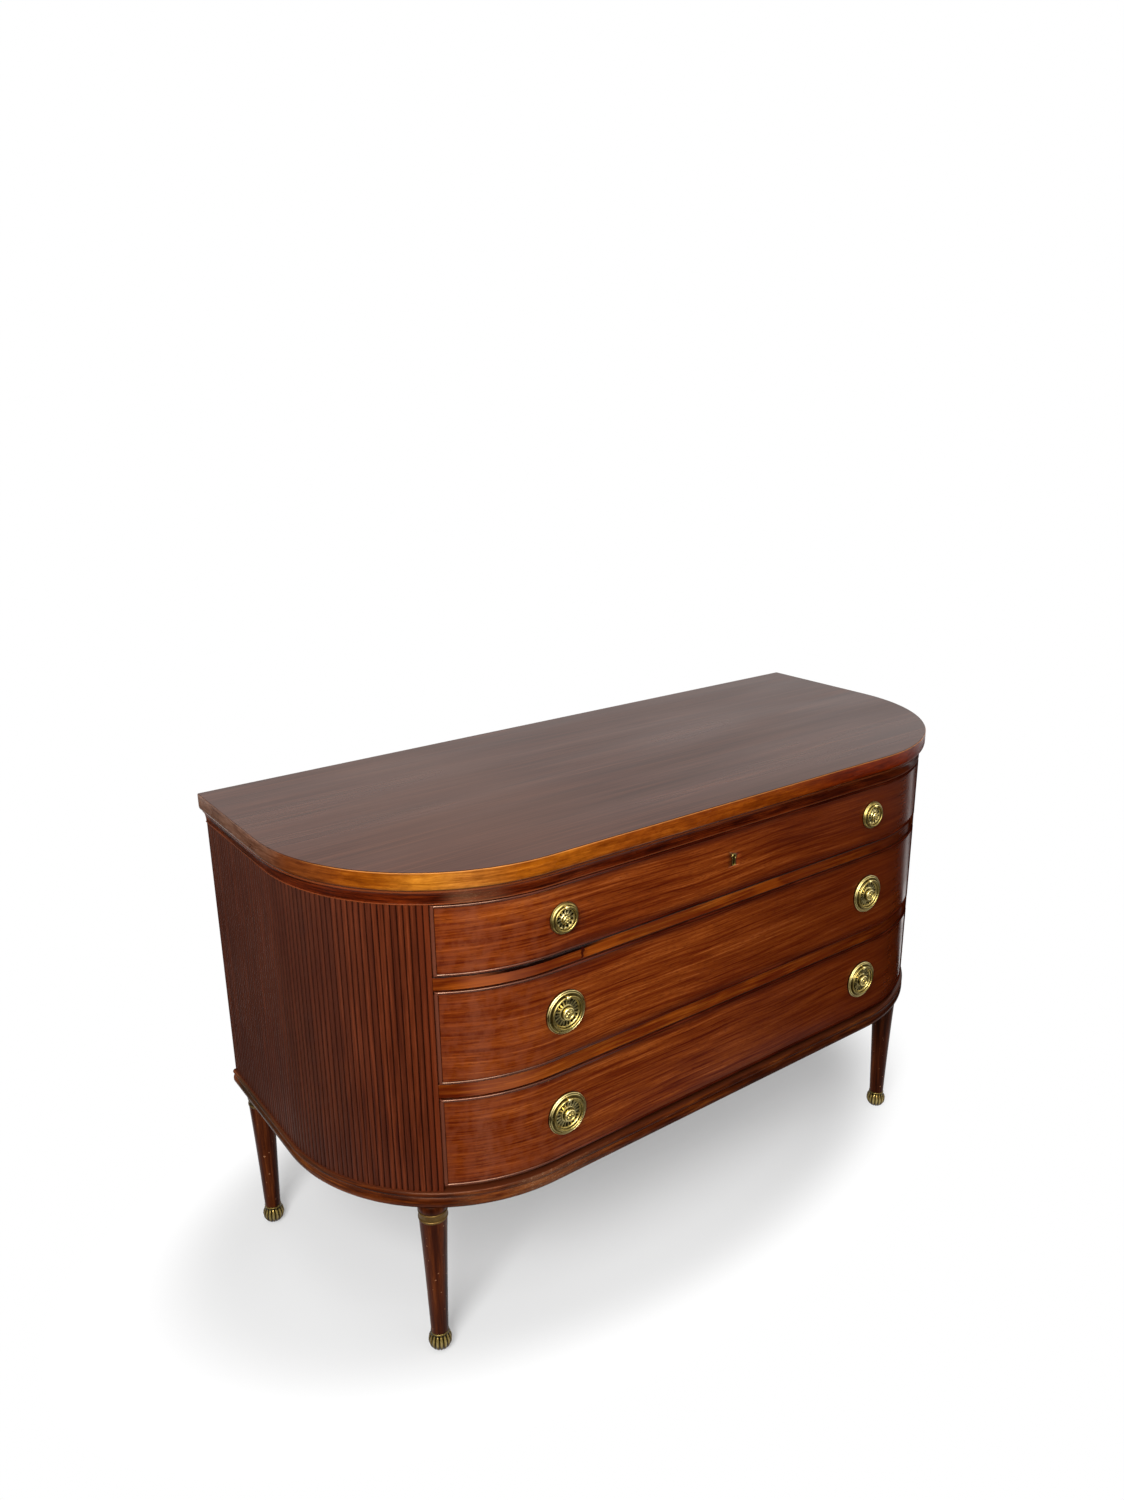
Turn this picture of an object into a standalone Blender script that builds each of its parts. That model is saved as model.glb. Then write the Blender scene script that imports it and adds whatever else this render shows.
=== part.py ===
"""Demilune chest of drawers: a D-shaped mahogany commode with reeded ends, three drawers,
ring pulls and four turned legs on ball feet.

Lengths are in metres. +X is the right-hand end, -Y is the front and +Z is up. The origin
lies on the floor at the middle of the chest's overall width and depth.
"""

import math

import bmesh
import bpy
from mathutils import Matrix, Vector

# Overall plan, shared by every board and moulding
TOP_WIDTH = 1.200
TOP_DEPTH = 0.503
CORNER_RADIUS = 0.278
CORNER_STEPS = 12
CASE_CORNER_STEPS = 6
PIECE_GAP = 0.0003
WELD_DISTANCE = 0.00001
CUT_OVERRUN = 0.004

# Ball feet
FOOT_RADIUS = 0.0168
FOOT_FLAT_DEPTH = 0.0005
FOOT_HEIGHT = 0.0320
FOOT_NECK_RADIUS = 0.0132
FOOT_NECK_HEIGHT = 0.0034
FOOT_PETALS = 12
FOOT_RINGS = 7
FOOT_NECK_RINGS = 2
FOOT_FLUTE_DEPTH = 0.0011

# Turned legs and their collars
LEG_BOTTOM_RADIUS = 0.0124
LEG_SHAFT_RADIUS = 0.0198
LEG_SHAFT_LENGTH = 0.1930
LEG_NECK_RADIUS = 0.0186
LEG_BEAD_RADIUS = 0.0211
LEG_BEAD_HEIGHT = 0.0130
LEG_CAP_RADIUS = 0.0190
LEG_CAP_HEIGHT = 0.0047
LEG_STEPS = 12
COLLAR_HEIGHT = 0.0138
COLLAR_RADIUS = 0.0207
COLLAR_RIM_HEIGHT = 0.0022
COLLAR_EASING = 0.0009
FRONT_LEG_PAST_OPENING = 0.0025
FRONT_LEG_INSET = 0.0327
BACK_LEG_FROM_END = 0.0350
BACK_LEG_FROM_BACK = 0.0275

# Base board with its moulded edge
BASE_THICKNESS = 0.0253
BASE_SETBACK = 0.0040
BASE_EDGE_DEPTH = 0.0045
BASE_GROOVE_DEPTH = 0.0023
BASE_BEAD_HEIGHT = 0.0083

# Case: reeded skins on coopered ends, posts and back
CASE_SETBACK = 0.0080
REED_COUNT = 60
REED_STEPS = 3
REED_DEPTH = 0.0028
REED_SKIN_THICKNESS = 0.0055
END_THICKNESS = 0.0115
OPENING_FROM_END = 0.1285
FRONT_POST_WIDTH = 0.0380
FRONT_POST_DEPTH = 0.0580
BACK_POST_WIDTH = 0.0300
BACK_POST_DEPTH = 0.0440
BACK_PANEL_THICKNESS = 0.0080
BACK_PANEL_RECESS = 0.0025

# Boards that the drawers run on, with their guides and stops
BOTTOM_BOARD_THICKNESS = 0.0067
BOTTOM_BOARD_SETBACK = 0.0170
LOWER_RAIL_THICKNESS = 0.0200
UPPER_RAIL_THICKNESS = 0.0175
RAIL_SETBACK = 0.0100
GUIDE_WIDTH = 0.0140
GUIDE_HEIGHT = 0.0075
GUIDE_FROM_FRONT = 0.1430
GUIDE_FROM_BACK = 0.0600
STOP_WIDTH = 0.0400
STOP_DEPTH = 0.0180
STOP_HEIGHT = 0.0050
STOP_FROM_OPENING = 0.2315

# Drawers, bottom to top
DRAWER_TOP_GAP = 0.0015
LOW_DRAWER_LIFT = 0.0015
LOW_DRAWER_HEIGHT = 0.1325
MIDDLE_DRAWER_LIFT = 0.0013
MIDDLE_DRAWER_HEIGHT = 0.1335
TOP_DRAWER_LIFT = 0.0024
TOP_DRAWER_HEIGHT = 0.0970
DRAWER_END_GAP = 0.0010
FRONT_SETBACK = 0.0090
FRONT_THICKNESS = 0.0200
FRONT_BEND_STEPS = 5
FRONT_BEND_DEPTH = 0.0384
COCK_BEAD_WIDTH = 0.0036
COCK_BEAD_STAND = 0.0015
COCK_BEAD_ROOT = 0.0010
COCK_BEAD_END_INSET = 0.0003
DRAWER_SIDE_THICKNESS = 0.0120
DRAWER_SIDE_INSET = 0.0010
DRAWER_SIDE_DROP = 0.0040
DRAWER_BACK_THICKNESS = 0.0100
DRAWER_BACK_FROM_BACK = 0.0220
DRAWER_BACK_DROP = 0.0060
DRAWER_BOTTOM_THICKNESS = 0.0060
DRAWER_BOTTOM_RAISE = 0.0090
GROOVE_DEPTH = 0.0055

# Dovetails that join each drawer side to its front
TAIL_LENGTH = 0.0150
TAIL_ROOT_HEIGHT = 0.0130
TAIL_TIP_HEIGHT = 0.0190
TAIL_PITCH = 0.0450
TAIL_MARGIN = 0.0190

# Top board, its lipping and the moulded frame under it
FRAME_THICKNESS = 0.0199
FRAME_SETBACK = 0.0163
MOULDING_SETBACK = 0.0047
MOULDING_FILLET_HEIGHT = 0.0078
MOULDING_COVE_DEPTH = 0.0038
TOP_THICKNESS = 0.0260
LIPPING_WIDTH = 0.0075
LIPPING_ARRIS = 0.0008
LIPPING_ROUND_HEIGHT = 0.0075
LIPPING_ROUND_DEPTH = 0.0042

# Ring pulls, large on the two deep drawers and small on the top one
PULL_FROM_DRAWER_END = 0.1685
LARGE_PLATE_RADIUS = 0.0312
SMALL_PLATE_RADIUS = 0.0223
LARGE_SLOT_COUNT = 14
SMALL_SLOT_COUNT = 12
PLATE_EDGE_HEIGHT = 0.0026
PLATE_STEP_HEIGHT = 0.0044
PLATE_GROOVE_HEIGHT = 0.0026
PLATE_LIP_HEIGHT = 0.0042
PLATE_FLOOR_HEIGHT = 0.0020
PLATE_METAL = 0.0010
BOSS_HEIGHT = 0.0102
BOSS_NECK_HEIGHT = 0.0062
STUD_RADIUS = 0.0022
STUD_CLEARANCE = 0.0004
NUT_RADIUS = 0.0050
NUT_HEIGHT = 0.0028
NUT_SIDES = 6
PIVOT_HEIGHT = 0.0064
LARGE_WIRE_RADIUS = 0.0017
SMALL_WIRE_RADIUS = 0.0015
RING_STEPS = 11
RING_GAP_ANGLE = math.radians(12)
PIN_RADIUS = 0.0010
PIN_CLEARANCE = 0.0004
PIN_END_X = 0.0007
LUG_RADIUS = 0.0026
LUG_HALF_WIDTH = 0.0021
LUG_STEPS = 7
BORE_STEPS = 6

# Lock of the top drawer
LOCK_WIDTH = 0.0640
LOCK_DEPTH = 0.0100
LOCK_HEIGHT = 0.0640
BOLT_WIDTH = 0.0200
BOLT_DEPTH = 0.0050
BOLT_HEIGHT = 0.0260
BOLT_THROW = 0.0080
BOLT_CLEARANCE = 0.0005
MORTISE_CLEARANCE = 0.0012
MORTISE_EXTRA_DEPTH = 0.0020
KEYHOLE_WIDTH = 0.0092
KEYHOLE_HEIGHT = 0.0182
KEYHOLE_SKIRT_WIDTH = 0.0066
KEYHOLE_RIM = 0.0022
KEYHOLE_DEPTH = 0.0040
KEYHOLE_STAND = 0.0004
KEYHOLE_STEPS = 8
KEYHOLE_NECK_ANGLE = math.radians(50)
KEYHOLE_DROP = 0.0018

# Profile shares, chosen by hand along each moulded or turned section
BASE_EDGE_SHARES = ((1.00, 0.00), (0.25, 0.10), (0.00, 0.33), (0.07, 0.52), (0.20, 0.60))
COVE_SHARES = ((0.00, 1.00), (0.20, 0.56), (0.55, 0.24), (1.00, 0.00))
LIPPING_ROUND_SHARES = ((0.00, 1.00), (0.22, 0.42), (1.00, 0.00))
COCK_BEAD_SHARES = ((0.00, 0.00), (0.87, 0.25), (0.87, 0.75), (0.00, 1.00))
BEAD_PROFILE_SHARES = (0.00, 0.30, 0.70, 1.00)
LEG_SWELL_SHARES = ((0.00, 0.00), (0.33, 0.40), (0.68, 0.74), (1.00, 1.00))
PLATE_RIM_SHARES = (1.000, 0.980, 0.895, 0.850, 0.800)
PLATE_DISH_SHARES = (0.665, 0.620, 0.400)
BOSS_SHARES = (0.285, 0.205)
PLATE_HOLLOW_SHARES = (0.930, 0.360)
SLOT_INNER_SHARE = 0.430
SLOT_OUTER_SHARE = 0.590
SLOT_WIDTH_SHARE = 0.62
RING_RADIUS_SHARE = 0.745

# Places worked out from the sizes above
CORNER_X = TOP_WIDTH / 2 - CORNER_RADIUS
OPENING_HALF_WIDTH = TOP_WIDTH / 2 - OPENING_FROM_END
DRAWER_HALF_WIDTH = OPENING_HALF_WIDTH - DRAWER_END_GAP
FRONT_BEND_ANGLE = math.asin((OPENING_HALF_WIDTH - CORNER_X) / (CORNER_RADIUS - FRONT_BEND_DEPTH))
PULL_X = DRAWER_HALF_WIDTH - PULL_FROM_DRAWER_END
STOP_X = OPENING_HALF_WIDTH - STOP_FROM_OPENING
BACK_Y = (TOP_DEPTH - FRONT_SETBACK + PIECE_GAP + BOSS_HEIGHT) / 2
FACE_Y = BACK_Y - TOP_DEPTH + FRONT_SETBACK
CORNER_Y = BACK_Y - TOP_DEPTH + CORNER_RADIUS
LEG_Z = FOOT_HEIGHT + PIECE_GAP
LEG_LENGTH = LEG_SHAFT_LENGTH + COLLAR_HEIGHT + PIECE_GAP * 2 + LEG_BEAD_HEIGHT + LEG_CAP_HEIGHT
BASE_Z = LEG_Z + LEG_LENGTH + PIECE_GAP
CASE_Z = BASE_Z + BASE_THICKNESS + PIECE_GAP
LOW_RUN_Z = CASE_Z + BOTTOM_BOARD_THICKNESS
LOW_FRONT_Z = LOW_RUN_Z + LOW_DRAWER_LIFT
LOWER_RAIL_Z = LOW_FRONT_Z + LOW_DRAWER_HEIGHT + DRAWER_TOP_GAP
MIDDLE_RUN_Z = LOWER_RAIL_Z + LOWER_RAIL_THICKNESS
MIDDLE_FRONT_Z = MIDDLE_RUN_Z + MIDDLE_DRAWER_LIFT
UPPER_RAIL_Z = MIDDLE_FRONT_Z + MIDDLE_DRAWER_HEIGHT + DRAWER_TOP_GAP
TOP_RUN_Z = UPPER_RAIL_Z + UPPER_RAIL_THICKNESS
TOP_FRONT_Z = TOP_RUN_Z + TOP_DRAWER_LIFT
FRAME_Z = TOP_FRONT_Z + TOP_DRAWER_HEIGHT + DRAWER_TOP_GAP
CASE_HEIGHT = FRAME_Z - PIECE_GAP - CASE_Z
TOP_Z = FRAME_Z + FRAME_THICKNESS + PIECE_GAP
SKIN_BACK_OFFSET = CASE_SETBACK + REED_SKIN_THICKNESS
END_OUTER_OFFSET = SKIN_BACK_OFFSET + PIECE_GAP
END_INNER_OFFSET = END_OUTER_OFFSET + END_THICKNESS
POST_OUTER_OFFSET = END_INNER_OFFSET + PIECE_GAP
FRONT_BACK_OFFSET = FRONT_SETBACK + FRONT_THICKNESS

# Drawers by name: height of the board each runs on, front's lower edge and height, pull size
DRAWERS = {
    "bottom": (LOW_RUN_Z, LOW_FRONT_Z, LOW_DRAWER_HEIGHT, "large"),
    "middle": (MIDDLE_RUN_Z, MIDDLE_FRONT_Z, MIDDLE_DRAWER_HEIGHT, "large"),
    "top": (TOP_RUN_Z, TOP_FRONT_Z, TOP_DRAWER_HEIGHT, "small"),
}
PULL_SIZES = {
    "large": (LARGE_PLATE_RADIUS, LARGE_WIRE_RADIUS, LARGE_SLOT_COUNT),
    "small": (SMALL_PLATE_RADIUS, SMALL_WIRE_RADIUS, SMALL_SLOT_COUNT),
}


def make_collection(name):
    collection = bpy.data.collections.new(name)
    bpy.context.scene.collection.children.link(collection)
    return collection


def make_material(name, colour, roughness, metallic=0.0):
    material = bpy.data.materials.new(name)
    material.use_nodes = True
    shader = material.node_tree.nodes["Principled BSDF"]
    shader.inputs["Base Color"].default_value = (*colour, 1.0)
    shader.inputs["Roughness"].default_value = roughness
    shader.inputs["Metallic"].default_value = metallic
    material.diffuse_color = (*colour, 1.0)
    return material


def place(obj, material, collection=None):
    """Links the object and gives it its material."""
    (collection or PARTS).objects.link(obj)
    if material:
        obj.data.materials.clear()
        obj.data.materials.append(material)
    return obj


def cleaned(mesh):
    """Welds loose seams in the mesh and turns its faces outwards."""
    bm = bmesh.new()
    bm.from_mesh(mesh)
    bmesh.ops.remove_doubles(bm, verts=bm.verts, dist=WELD_DISTANCE)
    bmesh.ops.recalc_face_normals(bm, faces=bm.faces)
    bm.to_mesh(mesh)
    bm.free()
    return mesh


def settled(obj):
    """Replaces the object by a mesh of its evaluated shape."""
    bpy.context.view_layer.update()
    graph = bpy.context.evaluated_depsgraph_get()
    mesh = cleaned(bpy.data.meshes.new_from_object(obj.evaluated_get(graph)))
    name, matrix, homes = obj.name, obj.matrix_world.copy(), list(obj.users_collection)
    materials = list(obj.data.materials)
    bpy.data.objects.remove(obj)
    solid = bpy.data.objects.new(name, mesh)
    mesh.name = name
    for home in homes:
        home.objects.link(solid)
    solid.matrix_world = matrix
    mesh.materials.clear()
    for material in materials:
        mesh.materials.append(material)
    return solid


def smooth(obj, angle=math.radians(35)):
    obj.data.shade_smooth()
    obj.data.set_sharp_from_angle(angle=angle)
    return obj


def flat_curve(name, points, cyclic=True):
    curve = bpy.data.curves.new(name, "CURVE")
    curve.dimensions = "2D"
    spline = curve.splines.new("POLY")
    spline.points.add(len(points) - 1)
    for point, (x, y) in zip(spline.points, points):
        point.co = (x, y, 0, 1)
    spline.use_cyclic_u = cyclic
    return curve


def board(name, outline, z, thickness, material, collection=None):
    """A flat board cut to a plan outline, lying from z up to z + thickness."""
    curve = flat_curve(name, outline)
    curve.fill_mode = "BOTH"
    curve.extrude = thickness / 2
    obj = place(bpy.data.objects.new(name, curve), material, collection)
    obj.location.z = z + thickness / 2
    return settled(obj)


def box(name, low, high, material=None, collection=None):
    """A box between two opposite corners, with its origin at its middle."""
    mesh = bpy.data.meshes.new(name)
    bm = bmesh.new()
    bmesh.ops.create_cube(bm, size=1.0)
    size = [b - a for a, b in zip(low, high)]
    bmesh.ops.scale(bm, vec=size, verts=bm.verts)
    bm.to_mesh(mesh)
    bm.free()
    obj = place(bpy.data.objects.new(name, mesh), material, collection)
    obj.location = [(a + b) / 2 for a, b in zip(low, high)]
    return obj


def turned(name, profile, steps, material, collection=None):
    """A revolved solid from (radius, height) points that run down its outer side."""
    mesh = bpy.data.meshes.new(name)
    mesh.from_pydata(
        [(radius, 0, height) for radius, height in profile],
        [(i, i + 1) for i in range(len(profile) - 1)],
        [],
    )
    obj = place(bpy.data.objects.new(name, mesh), material, collection)
    screw = obj.modifiers.new("Turn", "SCREW")
    screw.steps = screw.render_steps = steps
    screw.use_merge_vertices = True
    screw.merge_threshold = WELD_DISTANCE
    return smooth(settled(obj))


def combine(obj, other, operation="DIFFERENCE"):
    """Cuts the other object from obj, or joins it on, and keeps only the result."""
    modifier = obj.modifiers.new(operation.title(), "BOOLEAN")
    modifier.operation = operation
    modifier.solver = "EXACT"
    modifier.object = other
    if operation == "UNION":
        obj = settled(obj)
        bpy.data.objects.remove(other)
        return obj
    other.hide_render = True
    other.display_type = "WIRE"
    return obj


def cutter_box(name, low, high):
    return box(name, low, high, collection=CUTTERS)


def outline_run(offset, steps=CORNER_STEPS):
    """Plan points of the top's outline moved in by offset, back left corner to back right."""
    half = TOP_WIDTH / 2 - offset
    radius = CORNER_RADIUS - offset
    left = []
    for step in range(steps + 1):
        angle = math.pi / 2 * step / steps
        left.append((-CORNER_X - radius * math.cos(angle), CORNER_Y - radius * math.sin(angle)))
    right = [(-x, y) for x, y in reversed(left)]
    return [(-half, BACK_Y)] + left + right + [(half, BACK_Y)]


def end_wall_y(offset, x):
    """Where the end's true arc moved in by offset crosses a given x, in its front part."""
    radius = CORNER_RADIUS - offset
    return CORNER_Y - math.sqrt(radius**2 - (x - CORNER_X) ** 2)


def front_run(offset):
    """Plan points of the bowed front moved in by offset, some way past both ends of the drawers."""
    radius = CORNER_RADIUS - offset
    right = []
    for step in range(FRONT_BEND_STEPS + 1):
        angle = FRONT_BEND_ANGLE * step / FRONT_BEND_STEPS
        right.append((CORNER_X + radius * math.sin(angle), CORNER_Y - radius * math.cos(angle)))
    return [(-x, y) for x, y in reversed(right)] + right


def front_y(offset, x):
    """Where the bowed front moved in by offset crosses a given x."""
    run = front_run(offset)
    for (x0, y0), (x1, y1) in zip(run, run[1:]):
        if x0 <= x <= x1:
            return y0 + (y1 - y0) * (x - x0) / (x1 - x0)
    raise ValueError("x lies beyond the bowed front")


def front_span(offset, half_width):
    """The bowed front's plan points from x = -half_width to x = +half_width."""
    inside = [point for point in front_run(offset) if abs(point[0]) < half_width]
    end_y = front_y(offset, half_width)
    return [(-half_width, end_y)] + inside + [(half_width, end_y)]


def end_run(offset, steps=CORNER_STEPS):
    """Plan points of the left end's line moved in by offset, from the back to the drawer opening."""
    radius = CORNER_RADIUS - offset
    widest = math.acos((OPENING_HALF_WIDTH - CORNER_X) / radius)
    points = [(-CORNER_X - radius, BACK_Y)]
    for step in range(steps + 1):
        angle = widest * step / steps
        points.append((-CORNER_X - radius * math.cos(angle), CORNER_Y - radius * math.sin(angle)))
    return points


def reeded_run():
    """Plan points of the left end's reeds: equal arches along the line from back to opening."""
    radius = CORNER_RADIUS - CASE_SETBACK
    straight = BACK_Y - CORNER_Y
    length = straight + radius * math.acos((OPENING_HALF_WIDTH - CORNER_X) / radius)
    points = []
    for step in range(REED_COUNT * REED_STEPS + 1):
        along = length * step / (REED_COUNT * REED_STEPS)
        arch = math.sin(math.pi * (step % REED_STEPS) / REED_STEPS)
        inset = REED_DEPTH * (1 - arch)
        reach = radius - inset
        if along < straight:
            points.append((-CORNER_X - reach, BACK_Y - along))
        else:
            angle = (along - straight) / radius
            x = -CORNER_X - reach * math.cos(angle)
            points.append((min(x, -OPENING_HALF_WIDTH), CORNER_Y - reach * math.sin(angle)))
    return points


def mirrored(points, side):
    """The points on the left end, or turned over to the right end when side is 1."""
    return [(-side * x, y) for x, y in points]


def moulding(name, profile, path_points, z, material):
    """A strip with a closed (inset, height) section, carried along a plan path."""
    section = place(
        bpy.data.objects.new(name + "_section", flat_curve(name, [(-a, b) for a, b in profile])),
        None,
        CUTTERS,
    )
    section.data.fill_mode = "NONE"
    path = flat_curve(name, path_points, cyclic=False)
    path.bevel_mode = "OBJECT"
    path.bevel_object = section
    path.use_fill_caps = True
    obj = place(bpy.data.objects.new(name, path), material)
    obj.location.z = z
    obj = settled(obj)
    bpy.data.objects.remove(section)
    return smooth(obj)


def edge_moulded_board(name, levels, z, material):
    """A board drawn up from its underside, its outline moved in by each level's inset."""
    bm = bmesh.new()
    inset, height = levels[0]
    underside = bm.faces.new([bm.verts.new((x, y, height)) for x, y in outline_run(inset)])
    face = underside
    for inset, height in levels[1:]:
        drawn = bmesh.ops.extrude_face_region(bm, geom=[face])["geom"]
        if face != underside:
            bm.faces.remove(face)
        face = next(item for item in drawn if isinstance(item, bmesh.types.BMFace))
        for vertex, (x, y) in zip(face.verts, outline_run(inset)):
            vertex.co = (x, y, height)
    mesh = bpy.data.meshes.new(name)
    bm.to_mesh(mesh)
    bm.free()
    obj = place(bpy.data.objects.new(name, cleaned(mesh)), material)
    obj.location.z = z
    return smooth(obj)


# Foot: a gadrooned ball with a flat to stand on and a neck that takes the leg
def make_foot(name, x, y):
    centre_z = FOOT_RADIUS - FOOT_FLAT_DEPTH
    bm = bmesh.new()
    bmesh.ops.create_uvsphere(bm, u_segments=FOOT_PETALS * 2, v_segments=FOOT_RINGS, radius=FOOT_RADIUS)
    for vertex in bm.verts:
        ring = round(math.acos(vertex.co.z / FOOT_RADIUS) / math.pi * FOOT_RINGS)
        turn = math.atan2(vertex.co.y, vertex.co.x)
        if ring <= FOOT_NECK_RINGS:
            reach = FOOT_NECK_RADIUS if ring else 0
            drop = FOOT_NECK_HEIGHT if ring == FOOT_NECK_RINGS else 0
            vertex.co = (reach * math.cos(turn), reach * math.sin(turn), FOOT_HEIGHT - drop)
            continue
        width = math.hypot(vertex.co.x, vertex.co.y) / FOOT_RADIUS
        sink = FOOT_FLUTE_DEPTH * width**2 * (1 - math.cos(turn * FOOT_PETALS)) / 2
        vertex.co *= 1 - sink / FOOT_RADIUS
        vertex.co.z = max(centre_z + vertex.co.z, 0)
    mesh = bpy.data.meshes.new(name)
    bm.to_mesh(mesh)
    bm.free()
    foot = place(bpy.data.objects.new(name, cleaned(mesh)), BRASS)
    foot.location = (x, y, 0)
    return smooth(foot)


# Leg: tapered shaft, neck for the collar, and a turned bead under the base
def make_leg(name, x, y):
    neck_z = LEG_Z + LEG_SHAFT_LENGTH
    top_z = LEG_Z + LEG_LENGTH
    bead_z = neck_z + COLLAR_HEIGHT + PIECE_GAP * 2
    profile = [(0, top_z), (LEG_CAP_RADIUS, top_z), (LEG_CAP_RADIUS, bead_z + LEG_BEAD_HEIGHT)]
    for share in BEAD_PROFILE_SHARES[1:-1]:
        profile.append((LEG_BEAD_RADIUS, bead_z + LEG_BEAD_HEIGHT * (1 - share)))
    profile += [(LEG_CAP_RADIUS, bead_z), (LEG_NECK_RADIUS, bead_z), (LEG_NECK_RADIUS, neck_z)]
    for drop_share, width_share in LEG_SWELL_SHARES:
        radius = LEG_SHAFT_RADIUS + (LEG_BOTTOM_RADIUS - LEG_SHAFT_RADIUS) * width_share
        profile.append((radius, neck_z - LEG_SHAFT_LENGTH * drop_share))
    profile.append((0, LEG_Z))
    leg = turned(name, profile, LEG_STEPS, LEG_WOOD)
    leg.location = (x, y, 0)
    return leg


# Collar: a brass band with eased edges, in the leg's neck
def make_collar(name, x, y):
    low = LEG_Z + LEG_SHAFT_LENGTH + PIECE_GAP
    high = low + COLLAR_HEIGHT
    eased = COLLAR_RADIUS - COLLAR_EASING
    inner = LEG_NECK_RADIUS + PIECE_GAP
    profile = [
        (inner, high),
        (eased, high),
        (COLLAR_RADIUS, high - COLLAR_RIM_HEIGHT),
        (COLLAR_RADIUS, low + COLLAR_RIM_HEIGHT),
        (eased, low),
        (inner, low),
        (inner, high),
    ]
    collar = turned(name, profile, LEG_STEPS, BRASS)
    collar.location = (x, y, 0)
    return collar


# Base board: a bead over a rounded edge, with a groove between them
def make_base():
    round_top = BASE_THICKNESS - BASE_BEAD_HEIGHT
    levels = []
    for depth_share, height_share in BASE_EDGE_SHARES:
        inset = BASE_SETBACK + BASE_EDGE_DEPTH * depth_share
        levels.append((inset, round_top * height_share / BASE_EDGE_SHARES[-1][1]))
    levels.append((BASE_SETBACK + BASE_GROOVE_DEPTH, round_top))
    for share in BEAD_PROFILE_SHARES:
        swell = math.sin(math.pi * share)
        inset = BASE_SETBACK + BASE_GROOVE_DEPTH * (1 - swell)
        height = round_top + BASE_BEAD_HEIGHT * share
        if share:
            levels.append((inset, height))
    return edge_moulded_board("base_board", levels, BASE_Z, DARK_MAHOGANY)


# Reeded skin: sixty slender reeds on a thin ground, bent round the end
def make_reeded_skin(name, side):
    outline = reeded_run() + list(reversed(end_run(SKIN_BACK_OFFSET)))
    return smooth(board(name, mirrored(outline, side), CASE_Z, CASE_HEIGHT, REEDED_MAHOGANY))


# End: the coopered wall behind the reeds
def make_end(name, side):
    outline = end_run(END_OUTER_OFFSET) + list(reversed(end_run(END_INNER_OFFSET)))
    return smooth(board(name, mirrored(outline, side), CASE_Z, CASE_HEIGHT, DEAL))


# Front post: stands over the front leg, inside the curve of the end
def make_front_post(name, side):
    opening = OPENING_HALF_WIDTH
    outer = opening + FRONT_POST_WIDTH
    wall = [(-x, end_wall_y(POST_OUTER_OFFSET, x)) for x in (opening, (opening + outer) / 2, outer)]
    back = wall[0][1] + FRONT_POST_DEPTH
    outline = wall + [(-outer, back), (-opening, back)]
    return board(name, mirrored(outline, side), CASE_Z, CASE_HEIGHT, DEAL)


# Back post: squared upright in the back corner, over the back leg
def make_back_post(name, side):
    outer = TOP_WIDTH / 2 - POST_OUTER_OFFSET
    low = (side * outer, BACK_Y - BACK_POST_DEPTH, CASE_Z)
    high = (side * (outer - BACK_POST_WIDTH), BACK_Y, CASE_Z + CASE_HEIGHT)
    corners = [sorted(pair) for pair in zip(low, high)]
    return box(name, [a for a, b in corners], [b for a, b in corners], DEAL)


def back_post_inner_x():
    return TOP_WIDTH / 2 - POST_OUTER_OFFSET - BACK_POST_WIDTH


def back_panel_front_y():
    return BACK_Y - BACK_PANEL_RECESS - BACK_PANEL_THICKNESS


# Back panel: a thin board between the back posts
def make_back_panel():
    half = back_post_inner_x() - PIECE_GAP
    return box(
        "back_panel",
        (-half, back_panel_front_y(), CASE_Z),
        (half, BACK_Y - BACK_PANEL_RECESS, CASE_Z + CASE_HEIGHT),
        DEAL,
    )


def post_notch_y():
    return end_wall_y(POST_OUTER_OFFSET, OPENING_HALF_WIDTH) + FRONT_POST_DEPTH + PIECE_GAP


def case_board_outline(offset):
    """Plan of a board inside the case: front edge, curved ends, and notches for the back posts."""
    half = OPENING_HALF_WIDTH - PIECE_GAP
    radius = CORNER_RADIUS - POST_OUTER_OFFSET
    start = math.acos((half - CORNER_X) / radius)
    right = [point for point in front_span(offset, half) if point[0] > 0]
    for step in range(CASE_CORNER_STEPS + 1):
        angle = start * (1 - step / CASE_CORNER_STEPS)
        right.append((CORNER_X + radius * math.cos(angle), CORNER_Y - radius * math.sin(angle)))
    corner_y = BACK_Y - BACK_POST_DEPTH - PIECE_GAP
    inner_x = back_post_inner_x() - PIECE_GAP
    right += [(CORNER_X + radius, corner_y), (inner_x, corner_y)]
    right += [(inner_x, back_panel_front_y() - PIECE_GAP)]
    return right + [(-x, y) for x, y in reversed(right)]


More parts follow.
